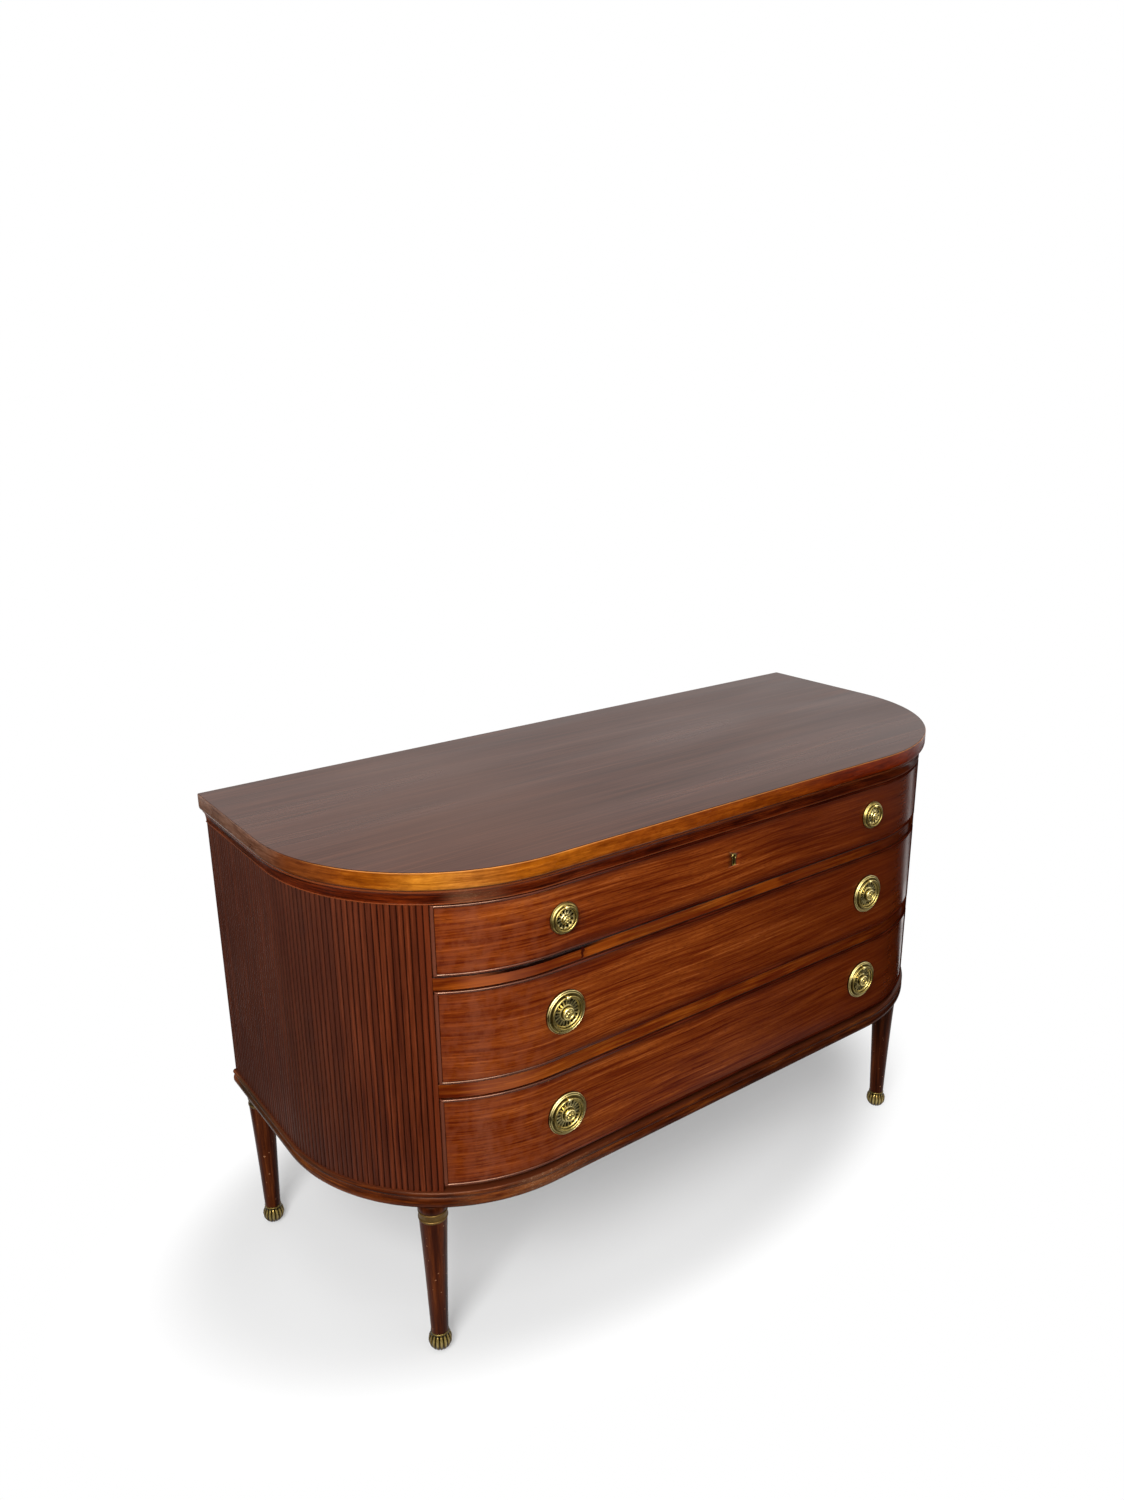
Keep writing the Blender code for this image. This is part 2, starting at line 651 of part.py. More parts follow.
# Running board: carries a drawer, with side guides and stops behind the drawer's front
def make_running_board(name, z, thickness, offset, material):
    obj = board(name, case_board_outline(offset), z, thickness, material)
    top = z + thickness
    for side in (-1, 1):
        ends = sorted((side * (OPENING_HALF_WIDTH - PIECE_GAP), side * TOP_WIDTH / 2))
        notch = cutter_box(
            name + "_post_notch",
            (ends[0], BACK_Y - TOP_DEPTH, z - CUT_OVERRUN),
            (ends[1], post_notch_y(), top + CUT_OVERRUN),
        )
        combine(obj, notch)
    obj = settled(obj)
    for side in (-1, 1):
        ends = sorted((side * OPENING_HALF_WIDTH, side * (OPENING_HALF_WIDTH + GUIDE_WIDTH)))
        guide = box(
            name + "_guide",
            (ends[0], BACK_Y - TOP_DEPTH + GUIDE_FROM_FRONT, top - thickness / 2),
            (ends[1], BACK_Y - GUIDE_FROM_BACK, top + GUIDE_HEIGHT),
        )
        obj = combine(obj, guide, "UNION")
        stop_y = BACK_Y - TOP_DEPTH + FRONT_BACK_OFFSET + PIECE_GAP
        stop = box(
            name + "_stop",
            (side * STOP_X - STOP_WIDTH / 2, stop_y, top - thickness / 2),
            (side * STOP_X + STOP_WIDTH / 2, stop_y + STOP_DEPTH, top + STOP_HEIGHT),
        )
        obj = combine(obj, stop, "UNION")
    return obj


# Top frame: the board that closes the case and takes the lock's bolt
def make_top_frame():
    obj = board("top_frame", outline_run(FRAME_SETBACK), FRAME_Z, FRAME_THICKNESS, DEAL)
    y = lock_bolt_y()
    half_width = BOLT_WIDTH / 2 + MORTISE_CLEARANCE
    half_depth = BOLT_DEPTH / 2 + MORTISE_CLEARANCE
    cutter = cutter_box(
        "bolt_mortise",
        (-half_width, y - half_depth, FRAME_Z - CUT_OVERRUN),
        (half_width, y + half_depth, FRAME_Z + BOLT_THROW + MORTISE_EXTRA_DEPTH),
    )
    combine(obj, cutter)
    return obj


# Moulding under the top: a fillet over a cove
def make_top_moulding():
    inner = FRAME_SETBACK - PIECE_GAP
    height = FRAME_THICKNESS
    cove_height = height - MOULDING_FILLET_HEIGHT
    profile = [(inner, 0), (inner, height), (MOULDING_SETBACK, height)]
    for depth_share, height_share in COVE_SHARES:
        profile.append(
            (MOULDING_SETBACK + MOULDING_COVE_DEPTH * depth_share, cove_height * height_share)
        )
    return moulding("top_moulding", profile, outline_run(0), FRAME_Z, DARK_MAHOGANY)


def make_top_board():
    outline = outline_run(LIPPING_WIDTH + PIECE_GAP)
    return board("top_board", outline, TOP_Z, TOP_THICKNESS, TOP_MAHOGANY)


# Lipping: the paler edge band, rounded under
def make_lipping():
    profile = [(LIPPING_WIDTH, 0), (LIPPING_WIDTH, TOP_THICKNESS), (LIPPING_ARRIS, TOP_THICKNESS)]
    profile.append((0, TOP_THICKNESS - LIPPING_ARRIS))
    for depth_share, height_share in LIPPING_ROUND_SHARES:
        profile.append((LIPPING_ROUND_DEPTH * depth_share, LIPPING_ROUND_HEIGHT * height_share))
    return moulding("top_edge_lipping", profile, outline_run(0), TOP_Z, LIPPING_WOOD)


def tail_heights(front_z, height):
    """Heights of the middles of the dovetails down one corner of a drawer."""
    span = height - TAIL_MARGIN * 2
    count = max(1, round(span / TAIL_PITCH)) + 1
    return [front_z + TAIL_MARGIN + span * i / (count - 1) for i in range(count)]


def tail_solid(name, side, middle_z, extra):
    """One dovetail, from inside the drawer's side out to its tip in the front; extra widens it."""
    outer = DRAWER_HALF_WIDTH - DRAWER_SIDE_INSET
    root_y = front_y(FRONT_BACK_OFFSET, DRAWER_HALF_WIDTH)
    tip_y = root_y - TAIL_LENGTH - extra
    rear_y = root_y + PIECE_GAP + (DRAWER_SIDE_THICKNESS / 2 if not extra else 0)
    inner = outer - DRAWER_SIDE_THICKNESS - extra
    root, tip = TAIL_ROOT_HEIGHT / 2 + extra, TAIL_TIP_HEIGHT / 2 + extra
    outline = [(tip_y, -tip), (root_y, -root), (rear_y, -root), (rear_y, root), (root_y, root), (tip_y, tip)]
    edge = outer + (CUT_OVERRUN if extra else 0)
    curve = flat_curve(name, outline)
    curve.fill_mode = "BOTH"
    curve.extrude = (edge - inner) / 2
    obj = place(bpy.data.objects.new(name, curve), None, CUTTERS)
    # The outline's own x and y become the chest's y and z
    turn = Matrix(((0, 0, 1), (1, 0, 0), (0, 1, 0))).to_4x4()
    obj.matrix_world = Matrix.Translation((side * (edge + inner) / 2, 0, middle_z)) @ turn
    return settled(obj)


# Drawer front: bowed to the plan, with a cock bead all round
def make_drawer_front(drawer, material):
    run_z, front_z, height = DRAWERS[drawer][:3]
    name = drawer + "_drawer_front"
    profile = [(FRONT_BACK_OFFSET, 0), (FRONT_BACK_OFFSET, height)]
    for low_z in (height - COCK_BEAD_WIDTH, 0):
        for stand_share, drop_share in COCK_BEAD_SHARES:
            inset = FRONT_SETBACK - COCK_BEAD_STAND * stand_share
            profile.append((inset, low_z + COCK_BEAD_WIDTH * (1 - drop_share)))
    obj = moulding(name, profile, front_run(0), front_z, material)
    for side in (-1, 1):
        ends = sorted((side * DRAWER_HALF_WIDTH, side * TOP_WIDTH / 2))
        trim = cutter_box(
            name + "_trim",
            (ends[0], BACK_Y - TOP_DEPTH, front_z - CUT_OVERRUN),
            (ends[1], BACK_Y, front_z + height + CUT_OVERRUN),
        )
        combine(obj, trim)
    obj = settled(obj)
    for side in (-1, 1):
        obj = combine(obj, end_bead(name + "_end_bead", side, front_z, height), "UNION")
    slack = PIECE_GAP * 2
    groove_z = run_z + DRAWER_BOTTOM_RAISE
    groove_half = DRAWER_HALF_WIDTH - DRAWER_SIDE_INSET - DRAWER_SIDE_THICKNESS + GROOVE_DEPTH
    groove = front_span(FRONT_BACK_OFFSET - GROOVE_DEPTH, groove_half)
    behind = front_y(FRONT_BACK_OFFSET, groove_half) + CUT_OVERRUN
    groove += [(groove_half, behind), (-groove_half, behind)]
    combine(obj, board(name + "_groove", groove, groove_z, DRAWER_BOTTOM_THICKNESS + slack, None, CUTTERS))
    for side in (-1, 1):
        for middle_z in tail_heights(front_z, height):
            combine(obj, tail_solid(name + "_socket", side, middle_z, PIECE_GAP))
        hole = turned(
            name + "_hole",
            [
                (0, CUT_OVERRUN),
                (STUD_RADIUS + STUD_CLEARANCE, CUT_OVERRUN),
                (STUD_RADIUS + STUD_CLEARANCE, -FRONT_THICKNESS - CUT_OVERRUN),
                (0, -FRONT_THICKNESS - CUT_OVERRUN),
            ],
            BORE_STEPS,
            None,
            CUTTERS,
        )
        hole.location = (side * PULL_X, FACE_Y, front_z + height / 2)
        hole.rotation_euler.x = math.pi / 2
        combine(obj, hole)
    return obj


def end_bead(name, side, front_z, height):
    """The upright length of cock bead at one end of a drawer front."""
    outer = DRAWER_HALF_WIDTH - COCK_BEAD_END_INSET
    root = FRONT_SETBACK + COCK_BEAD_ROOT
    outline = [(outer, front_y(root, outer))]
    for stand_share, across_share in COCK_BEAD_SHARES[1:-1]:
        x = outer - COCK_BEAD_WIDTH * across_share
        outline.append((x, front_y(FRONT_SETBACK - COCK_BEAD_STAND * stand_share, x)))
    outline.append((outer - COCK_BEAD_WIDTH, front_y(root, outer - COCK_BEAD_WIDTH)))
    low_z = front_z + COCK_BEAD_END_INSET
    return board(name, mirrored(outline, -side), low_z, height - COCK_BEAD_END_INSET * 2, None)


# Drawer side: grooved for the bottom, with dovetails at its front end
def make_drawer_side(drawer, side, name):
    run_z, front_z, height = DRAWERS[drawer][:3]
    outer = DRAWER_HALF_WIDTH - DRAWER_SIDE_INSET
    inner = outer - DRAWER_SIDE_THICKNESS
    low_z = run_z + PIECE_GAP
    high_z = front_z + height - DRAWER_SIDE_DROP
    front = front_y(FRONT_BACK_OFFSET, outer) + PIECE_GAP
    rear = BACK_Y - DRAWER_BACK_FROM_BACK
    outline = [(inner, front_y(FRONT_BACK_OFFSET, inner) + PIECE_GAP), (outer, front)]
    outline += [(outer, rear), (inner, rear)]
    obj = board(name, mirrored(outline, -side), low_z, high_z - low_z, DEAL)
    for middle_z in tail_heights(front_z, height):
        obj = combine(obj, tail_solid(name + "_tail", side, middle_z, 0), "UNION")
    groove_z = run_z + DRAWER_BOTTOM_RAISE
    ends = sorted((side * (inner - CUT_OVERRUN), side * (inner + GROOVE_DEPTH)))
    cutter = cutter_box(
        name + "_groove",
        (ends[0], front - TAIL_LENGTH - CUT_OVERRUN, groove_z),
        (ends[1], rear + CUT_OVERRUN, groove_z + DRAWER_BOTTOM_THICKNESS + PIECE_GAP * 2),
    )
    combine(obj, cutter)
    return obj


# Drawer back: stands on the bottom, between the sides
def make_drawer_back(drawer):
    run_z, front_z, height = DRAWERS[drawer][:3]
    half = DRAWER_HALF_WIDTH - DRAWER_SIDE_INSET - DRAWER_SIDE_THICKNESS - PIECE_GAP
    rear = BACK_Y - DRAWER_BACK_FROM_BACK
    low_z = run_z + PIECE_GAP * 2 + DRAWER_BOTTOM_RAISE + DRAWER_BOTTOM_THICKNESS
    high_z = front_z + height - DRAWER_SIDE_DROP - DRAWER_BACK_DROP
    return box(
        drawer + "_drawer_back",
        (-half, rear - DRAWER_BACK_THICKNESS, low_z),
        (half, rear, high_z),
        DEAL,
    )


# Drawer bottom: slides into the grooves of the front and sides
def make_drawer_bottom(drawer):
    run_z = DRAWERS[drawer][0]
    slack = PIECE_GAP * 2
    half = DRAWER_HALF_WIDTH - DRAWER_SIDE_INSET - DRAWER_SIDE_THICKNESS + GROOVE_DEPTH - slack
    rear = BACK_Y - DRAWER_BACK_FROM_BACK
    outline = front_span(FRONT_BACK_OFFSET - GROOVE_DEPTH + slack, half) + [(half, rear), (-half, rear)]
    low_z = run_z + PIECE_GAP + DRAWER_BOTTOM_RAISE
    return board(drawer + "_drawer_bottom", outline, low_z, DRAWER_BOTTOM_THICKNESS, DEAL)


def plate_profile(radius):
    """Section of a pull's plate: boss, dish, groove, stepped rim and hollow back."""
    rim = [radius * share for share in PLATE_RIM_SHARES]
    dish = [radius * share for share in PLATE_DISH_SHARES]
    boss = [radius * share for share in BOSS_SHARES]
    hollow = [radius * share for share in PLATE_HOLLOW_SHARES]
    return [
        (0, BOSS_HEIGHT),
        (boss[0], BOSS_HEIGHT - PLATE_METAL),
        (boss[1], PLATE_FLOOR_HEIGHT),
        (dish[2], PLATE_FLOOR_HEIGHT),
        (dish[1], PLATE_LIP_HEIGHT),
        (dish[0], PLATE_GROOVE_HEIGHT),
        (rim[4], PLATE_GROOVE_HEIGHT),
        (rim[3], PLATE_STEP_HEIGHT),
        (rim[2], PLATE_STEP_HEIGHT),
        (rim[1], PLATE_EDGE_HEIGHT),
        (rim[0], 0),
        (hollow[0], 0),
        (hollow[1], PLATE_METAL),
        (0, PLATE_METAL),
    ]


# Pull plate: a stamped and pierced rose with a bored lug for the ring, a stud and a nut
def plate_mesh(size):
    radius, _, slots = PULL_SIZES[size]
    name = size + "_plate"
    plate = turned(name, plate_profile(radius), slots, BRASS)
    combine(plate, slot_wedges(name + "_slots", radius, slots))
    plate = settled(plate)
    plate = combine(plate, lug_solid(name + "_lug", ring_pivot(radius)), "UNION")
    nut_top = -(FRONT_THICKNESS + PIECE_GAP)
    stud_profile = [
        (0, BOSS_NECK_HEIGHT),
        (STUD_RADIUS, BOSS_NECK_HEIGHT),
        (STUD_RADIUS, nut_top),
        (NUT_RADIUS, nut_top),
        (NUT_RADIUS, nut_top - NUT_HEIGHT),
        (0, nut_top - NUT_HEIGHT),
    ]
    plate = combine(plate, turned(name + "_stud", stud_profile, NUT_SIDES, None), "UNION")
    mesh = smooth(plate).data
    bpy.data.objects.remove(plate)
    return mesh


def slot_wedges(name, radius, slots):
    """One pointed cutter for each piercing of the dish, set between the plate's facets."""
    middle = radius * (SLOT_OUTER_SHARE + SLOT_INNER_SHARE) / 2
    length = radius * (SLOT_OUTER_SHARE - SLOT_INNER_SHARE)
    width = math.tau * middle / slots * SLOT_WIDTH_SHARE
    depth = PLATE_LIP_HEIGHT + CUT_OVERRUN
    bm = bmesh.new()
    for slot in range(slots):
        turn = Matrix.Rotation(math.tau * (slot + 0.5) / slots, 4, "Z")
        wedge = bmesh.ops.create_cone(
            bm, cap_ends=True, segments=3, radius1=radius, radius2=radius, depth=depth
        )["verts"]
        low_y = min(vertex.co.y for vertex in wedge)
        high_y = max(vertex.co.y for vertex in wedge)
        wide_x = max(vertex.co.x for vertex in wedge)
        for vertex in wedge:
            along = (high_y - vertex.co.y) / (high_y - low_y) - 0.5
            across = vertex.co.x / wide_x / 2
            vertex.co = turn @ Vector((middle + length * along, width * across, depth / 2 + vertex.co.z))
    mesh = bpy.data.meshes.new(name)
    bm.to_mesh(mesh)
    bm.free()
    return place(bpy.data.objects.new(name, cleaned(mesh)), None, CUTTERS)


def lug_solid(name, pivot_y):
    """The ear that stands out of the plate's groove, rounded over the bore for the ring's pins."""
    foot_height = PLATE_GROOVE_HEIGHT - PLATE_METAL / 2
    outline = [(-LUG_RADIUS, foot_height), (LUG_RADIUS, foot_height)]
    for step in range(LUG_STEPS + 1):
        angle = math.pi * step / LUG_STEPS
        outline.append((LUG_RADIUS * math.cos(angle), PIVOT_HEIGHT + LUG_RADIUS * math.sin(angle)))
    curve = flat_curve(name, outline)
    bore = curve.splines.new("POLY")
    bore.points.add(BORE_STEPS - 1)
    for step, point in enumerate(bore.points):
        angle = math.tau * step / BORE_STEPS
        reach = PIN_RADIUS + PIN_CLEARANCE
        point.co = (reach * math.cos(angle), PIVOT_HEIGHT + reach * math.sin(angle), 0, 1)
    bore.use_cyclic_u = True
    curve.fill_mode = "BOTH"
    curve.extrude = LUG_HALF_WIDTH
    lug = place(bpy.data.objects.new(name, curve), None)
    # The outline's x and y become the plate's y and z
    turn = Matrix(((0, 0, 1), (1, 0, 0), (0, 1, 0))).to_4x4()
    lug.matrix_world = Matrix.Translation((0, pivot_y, 0)) @ turn
    return settled(lug)


def ring_pivot(radius):
    """Height of the ring's pins above the middle of its plate."""
    return radius * RING_RADIUS_SHARE * math.cos(RING_GAP_ANGLE)


# Ring: one bent wire, its thin ends turned in towards each other through the lug
def ring_mesh(size):
    radius, wire = PULL_SIZES[size][:2]
    bend = radius * RING_RADIUS_SHARE
    pivot_y = ring_pivot(radius)
    thin = PIN_RADIUS / wire
    shoulder = LUG_HALF_WIDTH + PIN_RADIUS
    points = [(PIN_END_X, 0, thin), (shoulder, 0, thin)]
    for step in range(RING_STEPS + 1):
        angle = RING_GAP_ANGLE + (math.tau - 2 * RING_GAP_ANGLE) * step / RING_STEPS
        points.append((bend * math.sin(angle), bend * math.cos(angle) - pivot_y, 1))
    points += [(-shoulder, 0, thin), (-PIN_END_X, 0, thin)]
    curve = bpy.data.curves.new(size + "_ring", "CURVE")
    curve.dimensions = "3D"
    spline = curve.splines.new("POLY")
    spline.points.add(len(points) - 1)
    for point, (x, y, scale) in zip(spline.points, points):
        point.co = (x, y, 0, 1)
        point.radius = scale
    curve.bevel_depth = wire
    curve.bevel_resolution = 1
    curve.use_fill_caps = True
    ring = smooth(settled(place(bpy.data.objects.new(size + "_ring", curve), BRASS)))
    mesh = ring.data
    bpy.data.objects.remove(ring)
    return mesh


def make_pulls(drawer, plates, rings):
    front_z, height, size = DRAWERS[drawer][1:]
    radius = PULL_SIZES[size][0]
    for side, word in ((-1, "left"), (1, "right")):
        origin = Vector((side * PULL_X, FACE_Y - PIECE_GAP, front_z + height / 2))
        plate = place(bpy.data.objects.new(f"{drawer}_pull_plate_{word}", plates[size]), None)
        plate.location = origin
        plate.rotation_euler.x = math.pi / 2
        ring = place(bpy.data.objects.new(f"{drawer}_pull_ring_{word}", rings[size]), None)
        ring.location = origin + Vector((0, -PIVOT_HEIGHT, ring_pivot(radius)))
        ring.rotation_euler.x = math.pi / 2


def keyhole_z():
    return TOP_FRONT_Z + TOP_DRAWER_HEIGHT / 2 + KEYHOLE_DROP


def keyhole_outline(width, height, skirt):
    """A round head over a flaring skirt, with its middle at the origin."""
    radius = width / 2
    head_z = height / 2 - radius
    points = []
    for step in range(KEYHOLE_STEPS + 1):
        angle = -KEYHOLE_NECK_ANGLE + (math.pi + 2 * KEYHOLE_NECK_ANGLE) * step / KEYHOLE_STEPS
        points.append((radius * math.cos(angle), head_z + radius * math.sin(angle)))
    return points + [(-skirt / 2, -height / 2), (skirt / 2, -height / 2)]


def keyhole_solid(name, shrink, front, depth, material, collection=None):
    """A keyhole-shaped plug, its face at front and running back by depth."""
    outline = keyhole_outline(
        KEYHOLE_WIDTH - 2 * shrink, KEYHOLE_HEIGHT - 2 * shrink, KEYHOLE_SKIRT_WIDTH - 2 * shrink
    )
    obj = board(name, outline, 0, depth, material, collection)
    obj.rotation_euler.x = math.pi / 2
    obj.location = (0, front + depth / 2, keyhole_z())
    return obj


# Escutcheon: a brass thread let into the front round the keyhole
def make_escutcheon():
    obj = keyhole_solid("keyhole_escutcheon", 0, FACE_Y - KEYHOLE_STAND, KEYHOLE_DEPTH, BRASS)
    hole = keyhole_solid(
        "keyhole",
        KEYHOLE_RIM,
        FACE_Y - KEYHOLE_STAND - CUT_OVERRUN,
        KEYHOLE_DEPTH + CUT_OVERRUN * 2,
        None,
        CUTTERS,
    )
    combine(obj, hole)
    return obj


def cut_keyhole(front):
    """Lets the escutcheon into the top drawer's front and carries the keyhole through it."""
    seat = keyhole_solid(
        "escutcheon_seat",
        -PIECE_GAP,
        FACE_Y - CUT_OVERRUN,
        KEYHOLE_DEPTH - KEYHOLE_STAND + PIECE_GAP + CUT_OVERRUN,
        None,
        CUTTERS,
    )
    combine(front, seat)
    through = keyhole_solid(
        "key_way", KEYHOLE_RIM, FACE_Y - CUT_OVERRUN, FRONT_THICKNESS + CUT_OVERRUN * 2, None, CUTTERS
    )
    combine(front, through)


def lock_front_y():
    return BACK_Y - TOP_DEPTH + FRONT_BACK_OFFSET + PIECE_GAP


def lock_bolt_y():
    return lock_front_y() + LOCK_DEPTH / 2


def lock_top_z():
    return TOP_FRONT_Z + TOP_DRAWER_HEIGHT


# Lock: a case behind the top drawer's front, open above for its bolt
def make_lock():
    top = lock_top_z()
    obj = box(
        "lock_case",
        (-LOCK_WIDTH / 2, lock_front_y(), top - LOCK_HEIGHT),
        (LOCK_WIDTH / 2, lock_front_y() + LOCK_DEPTH, top),
        IRON,
    )
    half_width = BOLT_WIDTH / 2 + BOLT_CLEARANCE
    half_depth = BOLT_DEPTH / 2 + BOLT_CLEARANCE
    slot = cutter_box(
        "bolt_slot",
        (-half_width, lock_bolt_y() - half_depth, top - BOLT_HEIGHT - PIECE_GAP),
        (half_width, lock_bolt_y() + half_depth, top + CUT_OVERRUN),
    )
    combine(obj, slot)
    return obj


def make_bolt():
    top = lock_top_z()
    return box(
        "lock_bolt",
        (-BOLT_WIDTH / 2, lock_bolt_y() - BOLT_DEPTH / 2, top - BOLT_HEIGHT),
        (BOLT_WIDTH / 2, lock_bolt_y() + BOLT_DEPTH / 2, top),
        BRASS,
    )


def build_chest():
    front_leg_x = OPENING_HALF_WIDTH + FRONT_LEG_PAST_OPENING
    front_leg_y = end_wall_y(FRONT_LEG_INSET, front_leg_x)
    back_leg_x = TOP_WIDTH / 2 - BACK_LEG_FROM_END
    back_leg_y = BACK_Y - BACK_LEG_FROM_BACK
    legs = {
        "front_left": (-front_leg_x, front_leg_y),
        "front_right": (front_leg_x, front_leg_y),
        "back_left": (-back_leg_x, back_leg_y),
        "back_right": (back_leg_x, back_leg_y),
    }
    for corner, (x, y) in legs.items():
        make_foot("foot_" + corner, x, y)
        make_leg("leg_" + corner, x, y)
        make_collar("leg_collar_" + corner, x, y)
    make_base()
    for side, word in ((-1, "left"), (1, "right")):
        make_reeded_skin("reeded_skin_" + word, side)
        make_end("end_wall_" + word, side)
        make_front_post("front_post_" + word, side)
        make_back_post("back_post_" + word, side)
    make_back_panel()
    make_running_board("bottom_board", CASE_Z, BOTTOM_BOARD_THICKNESS, BOTTOM_BOARD_SETBACK, DARK_MAHOGANY)
    make_running_board("lower_rail_board", LOWER_RAIL_Z, LOWER_RAIL_THICKNESS, RAIL_SETBACK, RAIL_MAHOGANY)
    make_running_board("upper_rail_board", UPPER_RAIL_Z, UPPER_RAIL_THICKNESS, RAIL_SETBACK, RAIL_MAHOGANY)
    make_top_frame()
    make_top_moulding()
    make_top_board()
    make_lipping()
    plates = {size: plate_mesh(size) for size in PULL_SIZES}
    rings = {size: ring_mesh(size) for size in PULL_SIZES}
    for drawer in DRAWERS:
        front = make_drawer_front(drawer, FRONT_MAHOGANY)
        if drawer == "top":
            cut_keyhole(front)
        make_drawer_side(drawer, -1, drawer + "_drawer_side_left")
        make_drawer_side(drawer, 1, drawer + "_drawer_side_right")
        make_drawer_back(drawer)
        make_drawer_bottom(drawer)
        make_pulls(drawer, plates, rings)
    make_escutcheon()
    make_lock()
    make_bolt()


for leftover in list(bpy.data.objects):
    bpy.data.objects.remove(leftover)
PARTS = make_collection("demilune_chest_of_drawers")
CUTTERS = make_collection("cutters")
CUTTERS.hide_render = True
TOP_MAHOGANY = make_material("top_mahogany", (0.145, 0.060, 0.036), 0.30)
LIPPING_WOOD = make_material("lipping_wood", (0.330, 0.110, 0.022), 0.35)
DARK_MAHOGANY = make_material("dark_mahogany", (0.090, 0.026, 0.012), 0.38)
REEDED_MAHOGANY = make_material("reeded_mahogany", (0.100, 0.026, 0.014), 0.42)
RAIL_MAHOGANY = make_material("rail_mahogany", (0.240, 0.068, 0.016), 0.36)
FRONT_MAHOGANY = make_material("front_mahogany", (0.180, 0.044, 0.012), 0.32)
LEG_WOOD = make_material("leg_mahogany", (0.110, 0.026, 0.013), 0.36)
DEAL = make_material("deal", (0.420, 0.270, 0.130), 0.70)
BRASS = make_material("aged_brass", (0.520, 0.390, 0.150), 0.34, 1.0)
IRON = make_material("lock_iron", (0.110, 0.100, 0.090), 0.50, 1.0)
build_chest()
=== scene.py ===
"""Looks of the demilune chest of drawers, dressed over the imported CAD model.

Lengths are in metres. +X is the right-hand end, -Y is the front and +Z is up.
"""

import math

import bmesh
import bpy
import numpy as np
from mathutils import Matrix, Vector


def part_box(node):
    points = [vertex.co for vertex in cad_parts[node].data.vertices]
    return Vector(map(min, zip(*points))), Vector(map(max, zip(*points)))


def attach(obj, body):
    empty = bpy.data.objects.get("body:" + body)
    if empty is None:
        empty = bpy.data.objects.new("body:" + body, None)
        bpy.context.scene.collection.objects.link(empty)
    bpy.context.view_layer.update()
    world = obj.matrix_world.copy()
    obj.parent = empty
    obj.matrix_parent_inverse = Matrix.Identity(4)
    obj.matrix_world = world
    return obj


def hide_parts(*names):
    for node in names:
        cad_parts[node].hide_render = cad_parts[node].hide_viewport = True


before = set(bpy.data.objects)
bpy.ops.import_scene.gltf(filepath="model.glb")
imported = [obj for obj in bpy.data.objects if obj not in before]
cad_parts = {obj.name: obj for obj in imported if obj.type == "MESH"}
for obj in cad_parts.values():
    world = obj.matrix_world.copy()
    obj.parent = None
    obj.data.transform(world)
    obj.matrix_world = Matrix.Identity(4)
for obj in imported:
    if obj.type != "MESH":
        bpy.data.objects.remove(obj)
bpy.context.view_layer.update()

# Camera. A normal lens at a standing person's eye height, to the left of the chest and
# turned towards its middle, so that the left end, the front and the top all show.
CAMERA_PLACE = (-1.0526, -1.2911, 1.2787)
CAMERA_TURN = 0.62184
CAMERA_DROP = 0.30294
CAMERA_ROLL = -0.01523
FOCAL_LENGTH_MM = 26.545
SENSOR_MM = 36.0


def aimed(turn, drop, roll, place):
    """Matrix of a camera at place: turned from +Y towards +X, dropped below the horizon, then rolled."""
    ahead = Vector((math.sin(turn) * math.cos(drop), math.cos(turn) * math.cos(drop), -math.sin(drop)))
    level = Vector((math.cos(turn), -math.sin(turn), 0))
    rise = level.cross(ahead)
    right = math.cos(roll) * level + math.sin(roll) * rise
    up = -math.sin(roll) * level + math.cos(roll) * rise
    return Matrix.Translation(place) @ Matrix((right, up, -ahead)).transposed().to_4x4()


camera = bpy.data.objects.new("camera", bpy.data.cameras.new("camera"))
camera.data.lens = FOCAL_LENGTH_MM
camera.data.sensor_width = SENSOR_MM
camera.matrix_world = aimed(CAMERA_TURN, CAMERA_DROP, CAMERA_ROLL, CAMERA_PLACE)
bpy.context.scene.collection.objects.link(camera)
bpy.context.scene.camera = camera
bpy.context.scene.view_settings.view_transform = "Standard"

# Studio. The chest stands on a seamless white floor that fades into a white room. Its soft shadow
# there is partly cast by the lamps and partly painted, as an ellipse of weaker glow round the chest.
# The key lamp is at the left front, with a broad one overhead and a weak one at the right. Black
# cards lie round the picture, and show only as painted dark reflections in the polish.
FLOOR_REACH = 14.0
PAPER_COLOUR = "#B4B4B4"
FLOOR_ROUGHNESS = 0.85
# Painted shadow: the seen floor glows only FLOOR_GLOW_NEAR in an ellipse of SHADOW_REACH round SHADOW_MIDDLE,
# rising to full glow over FLOOR_FADE.
FLOOR_GLOW_NEAR = 0.34
SHADOW_MIDDLE = (-0.06, 0.09, 0)
SHADOW_REACH = (0.62, 0.34)
FLOOR_FADE = (0.82, 1.45)
ROOM_COLOUR = "#FFFFFF"
ROOM_LIGHT = 0.20
CARD_COLOUR = "#0C0B0A"


def linear(colour):
    """An sRGB hex colour as linear red, green, blue and alpha."""
    parts = [int(colour[i : i + 2], 16) / 255 for i in (1, 3, 5)]
    return (*(p / 12.92 if p <= 0.04045 else ((p + 0.055) / 1.055) ** 2.4 for p in parts), 1.0)


